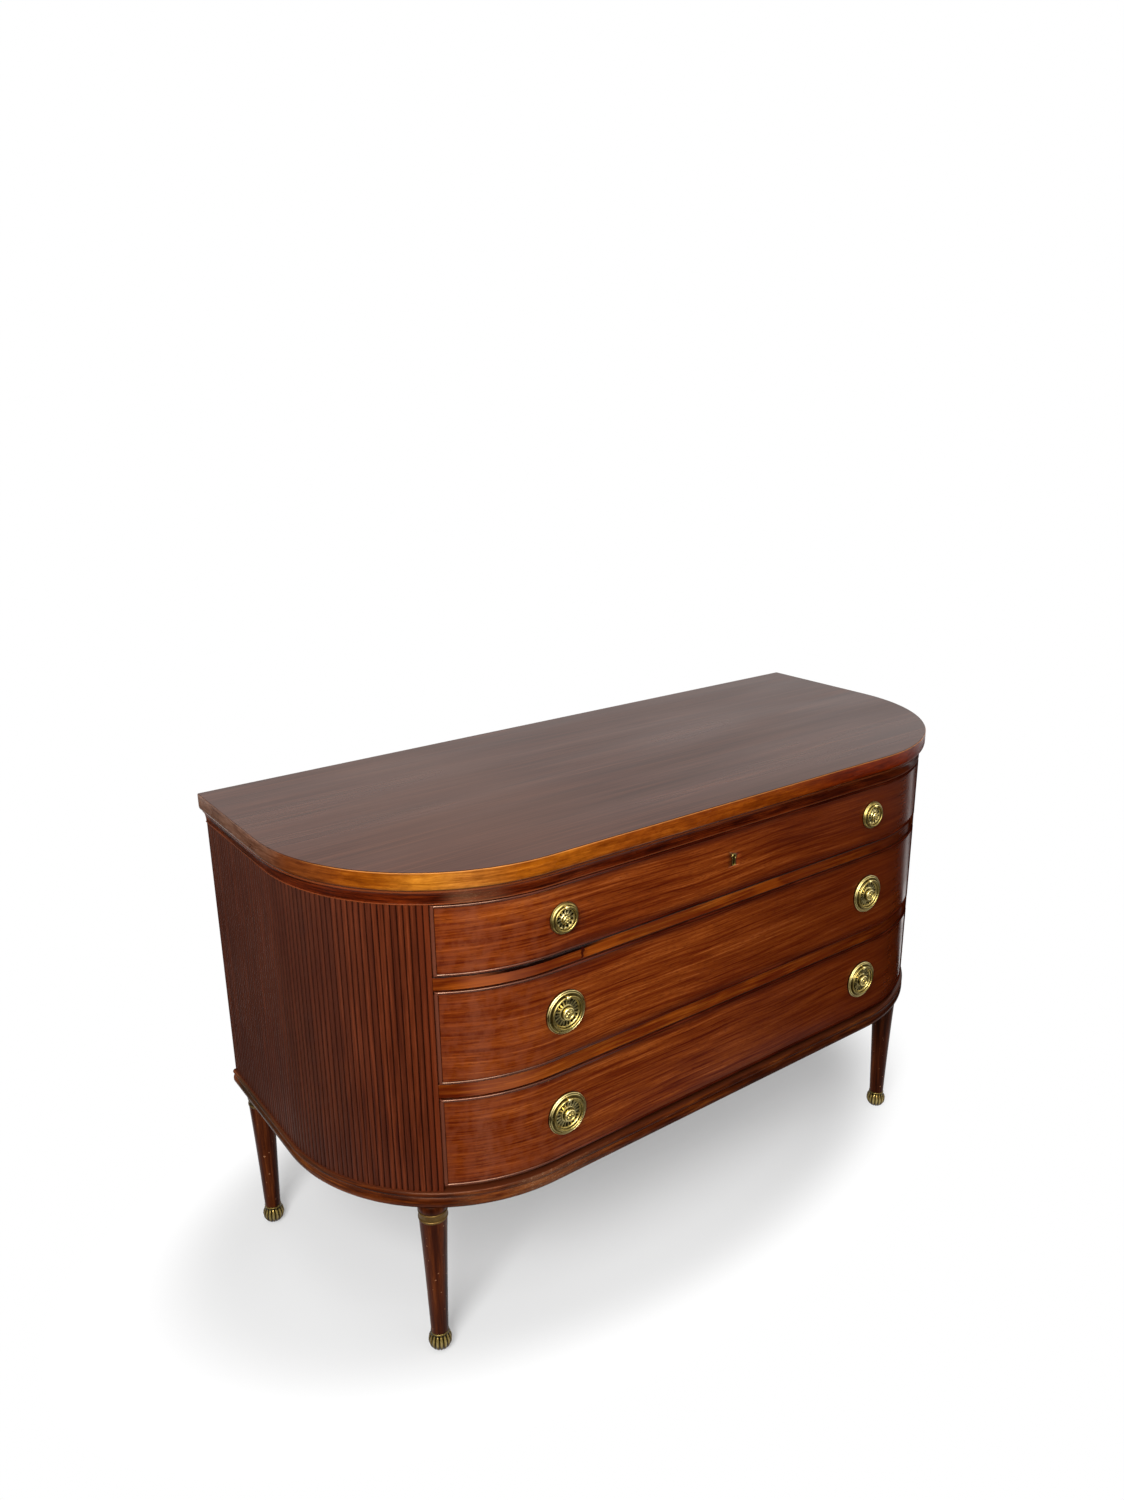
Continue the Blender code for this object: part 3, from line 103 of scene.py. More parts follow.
def add(tree, kind, inputs=(), stops=(), **settings):
    """Adds a node, sets its settings, and gives its inputs values or links, in order or by name. A
    node given as an input stands for its first output. A map range is clamped and eased. stops are
    the places and the hex colours of a colour ramp."""
    node = tree.nodes.new("ShaderNode" + kind)
    if kind == "MapRange":
        node.interpolation_type = "SMOOTHSTEP"
    for key, value in settings.items():
        setattr(node, key, value)
    for key, value in inputs.items() if isinstance(inputs, dict) else enumerate(inputs):
        if isinstance(value, bpy.types.Node):
            value = value.outputs[0]
        if isinstance(value, bpy.types.NodeSocket):
            tree.links.new(value, node.inputs[key])
        elif isinstance(value, str):
            node.inputs[key].default_value = linear(value)
        else:
            node.inputs[key].default_value = value
    if stops:
        ramp = node.color_ramp
        ramp.interpolation = "EASE"
        for _ in stops[2:]:
            ramp.elements.new(0.5)
        for element, (place, colour) in zip(ramp.elements, stops):
            element.position = place
            element.color = linear(colour)
    return node


def new_finish(name):
    """A material with an empty node tree."""
    material = bpy.data.materials.new(name)
    material.use_nodes = True
    material.node_tree.nodes.clear()
    return material, material.node_tree


def seen_share(tree):
    """1 for rays that show a background: from the camera, in a gloss, or through glass."""
    path = add(tree, "LightPath").outputs
    share = add(tree, "Math", [path["Is Camera Ray"], path["Is Glossy Ray"]], operation="MAXIMUM")
    return add(tree, "Math", [share, path["Is Transmission Ray"]], operation="MAXIMUM")


def studio_floor_finish():
    """White paper sweep: where it is seen it glows more with the distance from the chest, so that
    it runs into the white room, and near the chest it stays matt enough to carry the shadow. The
    weaker glow in an ellipse round the chest is a painted shadow."""
    material, tree = new_finish("white_paper_sweep")
    place = add(tree, "TexCoord").outputs["Object"]
    place = add(tree, "VectorMath", [place, SHADOW_MIDDLE], operation="SUBTRACT")
    place = add(tree, "VectorMath", [place, (*SHADOW_REACH, 1)], operation="DIVIDE")
    away = add(tree, "VectorMath", [place], operation="LENGTH").outputs["Value"]
    far = add(tree, "MapRange", [away, *FLOOR_FADE])
    strength = add(tree, "MapRange", [far, 0.0, 1.0, FLOOR_GLOW_NEAR, 1.0])
    glow = add(tree, "Emission", {"Color": ROOM_COLOUR, "Strength": strength})
    paper = add(tree, "BsdfDiffuse", {"Color": PAPER_COLOUR, "Roughness": FLOOR_ROUGHNESS})
    near = add(tree, "AddShader", [paper, glow])
    shown = add(tree, "MixShader", [far, near, glow])
    add(tree, "OutputMaterial", [add(tree, "MixShader", [seen_share(tree), paper, shown])])
    return material


floor_mesh = bpy.data.meshes.new("studio_floor")
floor_mesh.from_pydata(
    [(x * FLOOR_REACH, y * FLOOR_REACH, 0) for x, y in ((-1, -1), (1, -1), (1, 1), (-1, 1))],
    [],
    [(0, 1, 2, 3)],
)
floor = bpy.data.objects.new("studio_floor", floor_mesh)
floor_mesh.materials.append(studio_floor_finish())
bpy.context.scene.collection.objects.link(floor)

world = bpy.data.worlds.new("studio_room")
world.use_nodes = True
bpy.context.scene.world = world
room = world.node_tree
room.nodes.clear()
room_light = add(room, "Background", {"Color": ROOM_COLOUR, "Strength": ROOM_LIGHT})
room_white = add(room, "Background", {"Color": ROOM_COLOUR, "Strength": 1.0})
room_all = add(room, "MixShader", [seen_share(room), room_light, room_white])
add(room, "OutputWorld", {"Surface": room_all})


def soft_lamp(name, place, target, size, power, gloss_only=False):
    """A rectangular lamp at place that faces target; size is its width and height. A gloss-only
    lamp draws highlights on polished rounds and lights nothing."""
    light = bpy.data.lights.new(name, "AREA")
    light.shape = "RECTANGLE"
    light.size, light.size_y = size
    light.energy = power
    lamp = bpy.data.objects.new(name, light)
    lamp.location = place
    lamp.rotation_euler = (Vector(target) - Vector(place)).to_track_quat("-Z", "Y").to_euler()
    lamp.visible_camera = False
    lamp.visible_diffuse = not gloss_only
    bpy.context.scene.collection.objects.link(lamp)


LAMP_TARGET = (0, 0, 0.45)
soft_lamp("lamp_overhead", (-0.3, -0.5, 3.2), LAMP_TARGET, (2.6, 2.2), 50)
soft_lamp("lamp_key_left", (-1.55, -1.15, 1.55), LAMP_TARGET, (0.8, 0.9), 44)
soft_lamp("lamp_right", (2.4, -1.2, 1.2), LAMP_TARGET, (0.5, 1.8), 5)
soft_lamp("lamp_highlight", (-1.0, -1.5, 1.95), (-0.4, -0.2, 0.5), (1.5, 1.0), 55, gloss_only=True)


# Plan and joining of pieces. Every board and moulding of the chest follows one D-shaped
# line: straight sides, quarter-round corners and a straight front, moved in by an inset.
CORNER_RADIUS = 0.278
CORNER_STEPS = 48
SIDE_STEPS = 8
FRONT_STEPS = 16
WELD_DISTANCE = 2e-6
LIPPING_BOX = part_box("top_edge_lipping")
HALF_WIDTH = LIPPING_BOX[1].x
BACK_Y = LIPPING_BOX[1].y
FRONT_Y = LIPPING_BOX[0].y
CORNER_X = HALF_WIDTH - CORNER_RADIUS
CORNER_Y = FRONT_Y + CORNER_RADIUS


def run(x, y):
    """Distance along a line through the points (x, y), from its start."""
    return np.concatenate([[0], np.cumsum(np.hypot(np.diff(x), np.diff(y)))])


def plan_line(inset):
    """The D-shaped plan line moved in by inset: straight side, quarter circle, straight front,
    quarter circle and straight side. Gives x, y and the distance along the line, as arrays."""
    radius = CORNER_RADIUS - inset
    turn = np.linspace(0, np.pi / 2, CORNER_STEPS + 1)
    side_y = np.linspace(BACK_Y, CORNER_Y, SIDE_STEPS + 1)[:-1]
    corner_x = CORNER_X + radius * np.cos(turn)
    corner_y = CORNER_Y - radius * np.sin(turn)
    front_x = np.linspace(-CORNER_X, 0, FRONT_STEPS // 2 + 1)[1:]
    x = np.concatenate([np.full(SIDE_STEPS, -CORNER_X - radius), -corner_x, front_x])
    y = np.concatenate([side_y, corner_y, np.full(FRONT_STEPS // 2, CORNER_Y - radius)])
    x = np.concatenate([x, -x[-2::-1]])
    y = np.concatenate([y, y[-2::-1]])
    return x, y, run(x, y)


# Black cards on the floor round the picture. Stations count the plan line's points: 0 to 8 the left
# side, 8 to 56 the left corner, 56 to 72 the front, 72 to 120 the right corner, to 128 the right side.
CARD_NEAR = 0.28
CARD_FAR = 2.4
CARD_HEIGHT = 0.003


def beside_plan(first, last):
    """Outline of a card that follows the plan line between two stations, from its near distance
    out to its far distance."""
    at = np.linspace(first, last, 61)
    arcs = []
    for distance in (CARD_NEAR, CARD_FAR):
        x, y, _ = plan_line(-distance)
        station = np.arange(len(x))
        arcs.append(np.stack([np.interp(at, station, x), np.interp(at, station, y)], -1))
    return np.vstack([arcs[0], arcs[1][::-1]])


def black_card(name, outline):
    """A flat black card on the floor, of the given outline. Only glosses see it: it paints a dark
    reflection into the polish, and it neither lights nor shades anything."""
    material, tree = new_finish("black_card")
    add(tree, "OutputMaterial", [add(tree, "BsdfDiffuse", {"Color": CARD_COLOUR})])
    mesh = bpy.data.meshes.new(name)
    mesh.from_pydata([(x, y, CARD_HEIGHT) for x, y in outline], [], [tuple(range(len(outline)))])
    mesh.materials.append(material)
    card = bpy.data.objects.new(name, mesh)
    card.visible_camera = False
    card.visible_diffuse = False
    card.visible_shadow = False
    bpy.context.scene.collection.objects.link(card)


black_card("black_card_left", beside_plan(3, 45))
black_card("black_card_front", beside_plan(49.5, 119))
black_card("black_card_back_left", [(-0.78, 0.24), (-0.70, 0.60), (-0.80, 2.6), (-2.9, 2.6), (-2.9, 0.24)])
black_card("black_card_back_right", [(0.90, 0.20), (2.9, 0.20), (2.9, 1.2), (0.90, 0.60)])


def carried(profile):
    """Carries a section along the plan: point (i, j) lies on the line moved in by the section's
    inset i, at its distance j, and at the section's height i. Gives the points and their UVs."""
    profile = np.asarray(profile, float)
    rows = [plan_line(inset) for inset, _ in profile]
    points = np.stack(
        [np.stack([x, y, np.full_like(x, height)], -1) for (x, y, _), (_, height) in zip(rows, profile)]
    )
    uv = np.stack(np.broadcast_arrays(rows[0][2][None, :], run(*profile.T)[:, None]), -1)
    return points, uv


def closed_strip(points, uv):
    """A strip of closed section, shut at each end by a face of the section's own outline."""
    return [(points, uv), (points[:-1, 0], None), (points[:-1, -1], None)]


def make_piece(name, patches, material, body, replaces=(), sharp=30):
    """Joins patches into one closed mesh in metres. A patch is a grid of points (rows, columns, 3),
    whose cells become faces, with its UVs in metres, or one ring of points, which becomes one face.
    Points that coincide are welded and faces are turned outwards."""
    vertices, faces, uvs, start = [], [], [], 0
    for points, uv in patches:
        points = np.asarray(points, float)
        vertices.append(points.reshape(-1, 3))
        index = start + np.arange(points.size // 3).reshape(points.shape[:-1])
        start += points.size // 3
        if points.ndim == 2:
            faces.append([tuple(index)])
            uvs.append(points[:, :2].reshape(-1, 2))
            continue
        cells = np.stack([index[:-1, :-1], index[:-1, 1:], index[1:, 1:], index[1:, :-1]], -1)
        faces.append(cells.reshape(-1, 4).tolist())
        if uv is None:
            uv = points[..., :2]
        corners = np.stack([uv[:-1, :-1], uv[:-1, 1:], uv[1:, 1:], uv[1:, :-1]], -2)
        uvs.append(corners.reshape(-1, 2))
    mesh = bpy.data.meshes.new(name)
    mesh.from_pydata(np.concatenate(vertices), [], [face for group in faces for face in group])
    mesh.uv_layers.new(name="metres").data.foreach_set("uv", np.concatenate(uvs).astype(np.float32).ravel())
    welded = bmesh.new()
    welded.from_mesh(mesh)
    bmesh.ops.remove_doubles(welded, verts=welded.verts, dist=WELD_DISTANCE)
    bmesh.ops.dissolve_degenerate(welded, edges=welded.edges, dist=WELD_DISTANCE)
    bmesh.ops.recalc_face_normals(welded, faces=welded.faces)
    welded.to_mesh(mesh)
    welded.free()
    mesh.shade_smooth()
    mesh.set_sharp_from_angle(angle=math.radians(sharp))
    mesh.materials.append(material)
    piece = bpy.data.objects.new(name, mesh)
    bpy.context.scene.collection.objects.link(piece)
    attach(piece, body)
    if replaces:
        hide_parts(*replaces)
    return piece


def wood_grain(tree, place, figure):
    """Grey patterns of sawn wood, each from 0 to 1, on a coordinate in metres: broad colour drift,
    streaks along the grain in three widths, and fine pores. figure gives each pattern's features
    per metre, and how far the grain sways from straight."""
    sway = add(tree, "Mapping", {"Vector": place, "Scale": figure["sway"]})
    sway = add(tree, "TexNoise", {"Vector": sway, "Scale": 1.0, "Detail": 2.0, "Roughness": 0.4})
    sway = add(tree, "VectorMath", [sway.outputs["Color"], (0.5, 0.5, 0.5)], operation="SUBTRACT")
    sway = add(tree, "VectorMath", [sway, figure["sway_reach"]], operation="MULTIPLY")
    bent = add(tree, "VectorMath", [place, sway], operation="ADD")
    patterns = {}
    for key, detail in (("drift", 2.0), ("band", 1.0), ("streak", 1.5), ("line", 1.0), ("pore", 1.0)):
        scaled = add(tree, "Mapping", {"Vector": bent, "Scale": figure[key], "Rotation": (0.5, 0.7, 0.4)})
        noise = add(tree, "TexNoise", {"Vector": scaled, "Scale": 1.0, "Detail": detail, "Roughness": 0.55})
        patterns[key] = noise.outputs["Fac"]
    wide = add(tree, "Math", [patterns["band"], figure["weights"][0]], operation="MULTIPLY")
    wide = add(tree, "Math", [patterns["streak"], figure["weights"][1], wide], operation="MULTIPLY_ADD")
    wide = add(tree, "Math", [patterns["line"], figure["weights"][2], wide], operation="MULTIPLY_ADD")
    patterns["figure"] = wide
    return patterns


POLISH_TINT = "#FFCCA8"
SHELLAC_IOR = 1.47


def within(tree, *ranges):
    """How far several conditions hold at once: the product of eased ranges. Each is a value, the
    start and end that it rises between, and the results there if not 0 and 1; or it is a number."""
    share = 1.0
    for limits in ranges:
        amount = add(tree, "MapRange", limits) if isinstance(limits, tuple) else limits
        share = add(tree, "Math", [share, amount], operation="MULTIPLY")
    return share


def stained(tree, colour, *layers, **settings):
    """Lays stains over a colour, each over the last. A layer is the stain, then the ranges that it
    lies within."""
    for stain, *ranges in layers:
        colour = add(tree, "MixRGB", [within(tree, *ranges), colour, stain], **settings)
    return colour


def polished_wood(name, figure, colours, roughness, gloss, coordinate=None, extra=None):
    """French-polished mahogany: shellac over filled grain. Colour runs through ramps over the figure
    and the drift, pores show as short dark dashes, and old amber polish gives a soft warm mirror.
    gloss is the specular level, or a function of the tree and the place that gives it."""
    material, tree = new_finish(name)
    if coordinate == "uv":
        place = add(tree, "UVMap", uv_map="metres").outputs["UV"]
    else:
        place = add(tree, "TexCoord").outputs["Object"]
    grain = wood_grain(tree, place, figure)
    colour = add(tree, "ValToRGB", [grain["figure"]], stops=colours["figure"])
    colour = stained(tree, colour, (colours["drift"], (grain["drift"], 0.34, 0.66)), blend_type="MULTIPLY")
    colour = stained(tree, colour, (colours["pore"], (grain["pore"], 0.55, 0.66, 0.0, colours["pore_depth"])))
    if extra:
        colour = extra(tree, place, colour)
    surface = {
        "Base Color": colour,
        "Roughness": add(tree, "MapRange", [grain["drift"], 0.30, 0.70, *roughness]),
        "IOR": SHELLAC_IOR,
        "Specular IOR Level": gloss(tree, place) if callable(gloss) else gloss,
        "Specular Tint": POLISH_TINT,
        "Normal": add(tree, "Bump", {"Height": grain["pore"], "Strength": 0.1, "Distance": 0.0002}),
    }
    add(tree, "OutputMaterial", [add(tree, "BsdfPrincipled", surface)])
    return material


# Feet. Four cast brass balls, gadrooned with upright petals, each with a plain neck ring that
# takes the leg's end; they are turned smooth on the underside where they meet the floor.
FOOT_RADIUS = 0.0168
FOOT_FLAT = 0.0005
FOOT_HEIGHT = 0.0320
FOOT_NECK_RADIUS = 0.0132
FOOT_NECK_SWELL = 0.0006
FOOT_NECK_OVERLAP = 0.94
FOOT_PETALS = 16
PETAL_DEPTH = 0.0016
BRASS_GRIME_AND_SHADE = "#120C03"
BRASS_TARNISH = "#5A3C1E"
BRASS_EDGE_SHADE = "#38200E"
BRASS_TONES = ((0.36, "#7A6A38"), (0.50, "#907E46"), (0.66, "#AA9858"))
BRASS_RUBBED = "#E8D694"


def aged_and_shaded_brass(name, roughness, tarnish=0.0, rim=0.0):
    """Cast and stamped brass under old lacquer: yellow-green, black with old polish in hollows,
    rubbed bright on ridges, with fine cast unevenness. The sunk attribute runs from -1 on ridges
    to 1 in hollows; where a piece marks slots, a rim's foot or a foot's lower part as sunk, the
    black there is painted shade. rim browns the faces seen edge-on, as painted shade."""
    material, tree = new_finish(name)
    place = add(tree, "TexCoord").outputs["Object"]
    blotch = add(tree, "TexNoise", {"Vector": place, "Scale": 140.0, "Detail": 3.0, "Roughness": 0.55})
    fine = add(tree, "TexNoise", {"Vector": place, "Scale": 1500.0, "Detail": 2.0})
    sunk = add(tree, "Attribute", attribute_name="sunk").outputs["Fac"]
    tint = add(tree, "ValToRGB", [blotch], stops=BRASS_TONES)
    tint = stained(tree, tint, (BRASS_RUBBED, (sunk, -0.05, -0.70)), (BRASS_TARNISH, tarnish))
    # rim paints shade on the faces seen edge-on, through the facing weight.
    if rim:
        facing = add(tree, "LayerWeight", {"Blend": 0.5}).outputs["Facing"]
        tint = stained(tree, tint, (BRASS_EDGE_SHADE, (facing, 0.25, 0.75, 0.0, rim)))
    # Black where sunk: old polish in the hollows, and painted shade where the pieces mark slots, rim feet and
    # the feet's lower parts.
    surface = {
        "Base Color": stained(tree, tint, (BRASS_GRIME_AND_SHADE, (sunk, 0.05, 0.80))),
        "Metallic": 1.0,
        "Roughness": add(tree, "MapRange", [blotch, 0.3, 0.7, *roughness]),
        "Normal": add(tree, "Bump", {"Height": fine, "Strength": 0.05, "Distance": 0.0002}),
    }
    add(tree, "OutputMaterial", [add(tree, "BsdfPrincipled", surface)])
    return material


AGED_BRASS = aged_and_shaded_brass("aged_lacquered_brass_painted_shade", (0.40, 0.26))
DULL_BRASS = aged_and_shaded_brass("tarnished_brass", (0.58, 0.38), 0.80)
FOOT_BRASS = aged_and_shaded_brass("worn_cast_brass_painted_shade", (0.36, 0.18), 0.35, 0.92)


def lathe(profile, centre, columns=64):
    """Turns (radius, height) points about an upright axis: point (i, j) lies at radius i, height i,
    and at the angle j. UVs are the distance round and the distance along the section."""
    profile = np.asarray(profile, float)
    angle = np.linspace(0, 2 * np.pi, columns + 1)
    radius, height = profile[:, :1], profile[:, 1:]
    x, y = centre[0] + radius * np.cos(angle), centre[1] + radius * np.sin(angle)
    points = np.stack([x, y, height + 0 * angle], -1)
    points[:, -1] = points[:, 0]
    uv = np.stack(np.broadcast_arrays(angle * profile[:, 0].max(), run(*profile.T)[:, None]), -1)
    return points, uv


def gadrooned_ball(centre):
    """A ball whose radius falls by the petal depth between petals: reach = radius - depth *
    sin(dip)^0.7 * (1 - |cos(half the petal angle)|^0.8), so that each petal is full and each valley
    sharp. The dip runs from the neck to the foot, which is cut flat at the floor."""
    columns = FOOT_PETALS * 12
    angle = np.linspace(0, 2 * np.pi, columns + 1)
    neck_angle = math.asin(FOOT_NECK_RADIUS / FOOT_RADIUS) * FOOT_NECK_OVERLAP
    dip = np.linspace(neck_angle, np.pi, 40)[:, None]
    fullness = np.abs(np.cos(angle * FOOT_PETALS / 2)) ** 0.8
    swirl = np.clip(np.sin(dip), 0, 1) ** 0.7 * np.clip((dip - neck_angle) * 5, 0, 1)
    reach = FOOT_RADIUS - PETAL_DEPTH * swirl * (1 - fullness)
    across = reach * np.sin(dip)
    height = np.maximum(FOOT_RADIUS - FOOT_FLAT + reach * np.cos(dip), 0)
    x, y = centre.x + across * np.cos(angle), centre.y + across * np.sin(angle)
    ball = np.stack([x, y, height + 0 * angle], -1)
    ball[:, -1] = ball[:, 0]
    neck_low = height[0].mean()
    steps = np.linspace(0, np.pi, 9)
    ring_radius = FOOT_NECK_RADIUS - FOOT_NECK_SWELL * (1 - np.sin(steps))
    ring_height = (FOOT_HEIGHT + neck_low) / 2 + (FOOT_HEIGHT - neck_low) / 2 * np.cos(steps)
    neck = lathe([(0, FOOT_HEIGHT), *zip(ring_radius, ring_height)], centre, columns)
    joint = np.stack([neck[0][-1], ball[0]])
    return [(ball, None), neck, (joint, None)]


def mark(piece, attribute, measure):
    """Stores an attribute on the piece: at each vertex, measure(x, y, z) of its place."""
    mesh = piece.data
    places = np.empty(len(mesh.vertices) * 3)
    mesh.vertices.foreach_get("co", places)
    amount = measure(*places.reshape(-1, 3).T).astype(np.float32)
    mesh.attributes.new(attribute, "FLOAT", "POINT").data.foreach_set("value", amount)


def petal_wear_and_shade(centre):
    """A foot is sunk in the valleys, where the petal angle's cosine is nought, and rubbed on the
    petals. It is also counted sunk toward the floor and the neck, which paints shade there."""

    def measure(x, y, z):
        angle = np.arctan2(y - centre.y, x - centre.x)
        petal = np.abs(np.cos(angle * FOOT_PETALS / 2))
        height = np.abs(z / (FOOT_RADIUS * 0.95) - 1)
        return np.clip((0.60 - 1.3 * petal + 1.2 * height**2) * (z < FOOT_RADIUS * 1.8) + 0.25, -1, 1)

    return measure


CORNERS = ("front_left", "front_right", "back_left", "back_right")
for corner in CORNERS:
    low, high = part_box("foot_" + corner)
    middle = (low + high) / 2
    foot = make_piece(
        "ball_foot_" + corner,
        gadrooned_ball(middle),
        FOOT_BRASS,
        "carcase",
        replaces=["foot_" + corner],
        sharp=50,
    )
    # The sunk mark blackens the valleys with old polish and paints shade low on the ball and at its neck.
    mark(foot, "sunk", petal_wear_and_shade(middle))


# Legs. Turned and tapered from solid mahogany, swelling slightly below a brass collar, with a
# glossy turned bead between the collar and the base board; a dowel holds each leg in the base.
LEG_BOTTOM_RADIUS = 0.0124
LEG_SHAFT_RADIUS = 0.0198
LEG_SHAFT_LENGTH = 0.1930
LEG_NECK_RADIUS = 0.0186
LEG_BEAD_RADIUS = 0.0211
LEG_BEAD_HEIGHT = 0.0130
LEG_CAP_RADIUS = 0.0190
COLLAR_HEIGHT = 0.0138
COLLAR_RADIUS = 0.0207
PIECE_GAP = 0.0003
ARRIS = 0.0004
LEG_SWELL_SHARES = ((0.00, 0.00), (0.33, 0.40), (0.68, 0.74), (1.00, 1.00))


def chips(tree, place, colour):
    """Tiny pale spots where the polish has chipped off."""
    spots = add(tree, "TexNoise", {"Vector": place, "Scale": 210.0, "Detail": 1.0})
    return stained(tree, colour, ("#B8805A", (spots, 0.735, 0.76, 0.0, 0.7)))


# Red-brown, glossy and close-grained, with the grain up the leg.
LEG_MAHOGANY = polished_wood(
    "turned_leg_mahogany",
    {
        "sway": (8, 8, 3),
        "sway_reach": (0.006, 0.006, 0),
        "drift": (26, 26, 3),
        "band": (60, 60, 3),
        "streak": (150, 150, 8),
        "line": (420, 420, 14),
        "pore": (1000, 1000, 80),
        "weights": (0.40, 0.35, 0.25),
    },
    {
        "figure": ((0.38, "#2E1007"), (0.46, "#421A0A"), (0.53, "#56270F"), (0.62, "#6E3818")),
        "drift": "#C0AA94",
        "pore": "#2A0D06",
        "pore_depth": 0.35,
    },
    (0.24, 0.36),
    gloss=0.07,
    extra=chips,
)


def leg_section(bottom_z, top_z):
    """Section of the leg from its foot up: tapered shaft through the swell's points, smoothed by a
    cubic, neck under the collar, round bead, cap."""
    neck_z = bottom_z + LEG_SHAFT_LENGTH
    drop, width = np.array(LEG_SWELL_SHARES).T
    curve = np.polyfit(drop, width, 3)
    along = np.linspace(1, 0, 40)
    shaft = LEG_SHAFT_RADIUS + (LEG_BOTTOM_RADIUS - LEG_SHAFT_RADIUS) * np.polyval(curve, along)
    section = [(0, bottom_z), (shaft[0] - ARRIS, bottom_z)]
    section += list(zip(shaft, neck_z - LEG_SHAFT_LENGTH * along + ARRIS * (along == 1)))
    bead_z = neck_z + COLLAR_HEIGHT + PIECE_GAP * 2
    section += [(LEG_NECK_RADIUS, neck_z), (LEG_NECK_RADIUS, bead_z), (LEG_CAP_RADIUS, bead_z)]
    turn = np.linspace(-np.pi / 2, np.pi / 2, 13)
    bead = LEG_CAP_RADIUS + (LEG_BEAD_RADIUS - LEG_CAP_RADIUS) * np.cos(turn)
    section += list(zip(bead, bead_z + LEG_BEAD_HEIGHT * (1 + np.sin(turn)) / 2))
    return section + [(LEG_CAP_RADIUS, top_z), (0, top_z)]


for corner in CORNERS:
    low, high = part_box("leg_" + corner)
    middle = (low + high) / 2
    make_piece(
        "turned_leg_" + corner,
        [lathe(leg_section(low.z, high.z), middle)],
        LEG_MAHOGANY,
        "carcase",
        replaces=["leg_" + corner],
    )


# Collars. A narrow band of brass with two eased rims and a hollow between them, slipped over the
# leg's neck before the bead is glued on.
COLLAR_STEPS = 9
COLLAR_RIM = 0.0016
COLLAR_HOLLOW = 0.0009


def collar_section(low, high):
    """Closed section of the collar: a plain bore, and outside a rim, a shallow hollow and a rim."""
    turn = np.linspace(0, np.pi, COLLAR_STEPS)
    rim = COLLAR_RIM
    lower = np.stack([COLLAR_RADIUS - rim * (1 - np.sin(turn)) * 0.5, low + rim * (1 - np.cos(turn))], -1)
    upper = np.stack([lower[:, 0], high - rim * (1 + np.cos(turn))], -1)
    bore = LEG_NECK_RADIUS + PIECE_GAP
    hollow_radius = COLLAR_RADIUS - COLLAR_HOLLOW
    hollow = [(hollow_radius, low + 2 * rim + ARRIS), (hollow_radius, high - 2 * rim - ARRIS)]
    return [(bore, low), *lower, *hollow, *upper, (bore, high), (bore, low)]


for corner in CORNERS:
    low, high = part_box("leg_collar_" + corner)
    middle = (low + high) / 2
    make_piece(
        "brass_collar_" + corner,
        [lathe(collar_section(low.z, high.z), middle)],
        DULL_BRASS,
        "carcase",
        replaces=["leg_collar_" + corner],
        sharp=40,
    )


# Base board. A thick D-shaped board; its edge is worked with a rounded lower band, a narrow
# groove and a bead; its dark polish is glossy on the front corner, where painted glints and a
# painted sheen lie, and painted shade lies on its top under the drawers and toward the right.
BASE_LOW, BASE_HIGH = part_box("base_board")
BASE_SETBACK = 0.0040
BASE_EDGE_DEPTH = 0.0045
BASE_GROOVE_DEPTH = 0.0023
BASE_BEAD_HEIGHT = 0.0083


def dark_mahogany(name, colours, green="#3E3424", glint_colour="#B89A78", shade=0.45):
    """Mahogany mouldings under a thick dark old polish: nearly black in the hollows, rubbed lighter
    on the crests, olive where the polish has greyed, with a painted sheen and painted glints in a
    crazed speckle on the left corner, painted shade on the base's top under the drawers, and
    painted shade toward the right end."""

    def age(tree, place, colour):
        spot = add(tree, "TexCoord").outputs["Object"]
        height = add(tree, "SeparateXYZ", [spot]).outputs["Z"]
        along = add(tree, "SeparateXYZ", [place]).outputs["X"]
        crest = add(tree, "NewGeometry").outputs["Pointiness"]
        patch = add(tree, "TexNoise", {"Vector": spot, "Scale": 6.0, "Detail": 3.0})
        crazed = add(tree, "Mapping", {"Vector": place, "Scale": (170, 1300, 1)})
        crazed = add(tree, "TexNoise", {"Vector": crazed, "Scale": 1.0, "Detail": 3.0, "Roughness": 0.7})
        # corner: where a painted sheen and painted glints lie on the left front corner.
        corner = within(tree, (along, 0.49, 0.53), (along, 0.78, 0.56), (patch, 0.35, 0.60))
        base_top = BASE_HIGH.z
        return stained(
            tree,
            colour,
            (green, (patch, 0.40, 0.62, 0.4, 0.9), (along, 0.42, 0.10)),
            ("#8A4624", (crest, 0.515, 0.56, 0.0, 0.55)),
            # Painted sheen on the left corner.
            ("#7C5238", corner, 0.45),
            # Painted glints in a crazed speckle.
            (glint_colour, (crazed, 0.56, 0.70, 0.0, 0.9), corner),
            # Painted shade on the base's top, under the drawers.
            (
                "#48200F",
                (height, base_top - 0.0004, base_top - 0.0002),
                (height, base_top + 0.0004, base_top + 0.0002),
            ),
            # Painted shade toward the right end.
            ("#2A1008", (along, 0.80, 1.30, 0.0, shade)),
        )

    def toe_gloss(tree, place):
        """The polish shines round the front left corner, less toward the back and the right, and not
        on the lowest edge of the base."""
        height = add(tree, "SeparateXYZ", [add(tree, "TexCoord").outputs["Object"]]).outputs["Z"]
        along = add(tree, "SeparateXYZ", [place]).outputs["X"]
        toe = (height, BASE_LOW.z + 0.003, BASE_LOW.z + 0.008)
        return within(tree, (along, 0.95, 0.65, 0.02, 0.12), toe, (along, 0.20, 0.45, 0.15, 1.0))

    return polished_wood(
        name, MOULDING_FIGURE, colours, (0.18, 0.30), gloss=toe_gloss, coordinate="uv", extra=age
    )


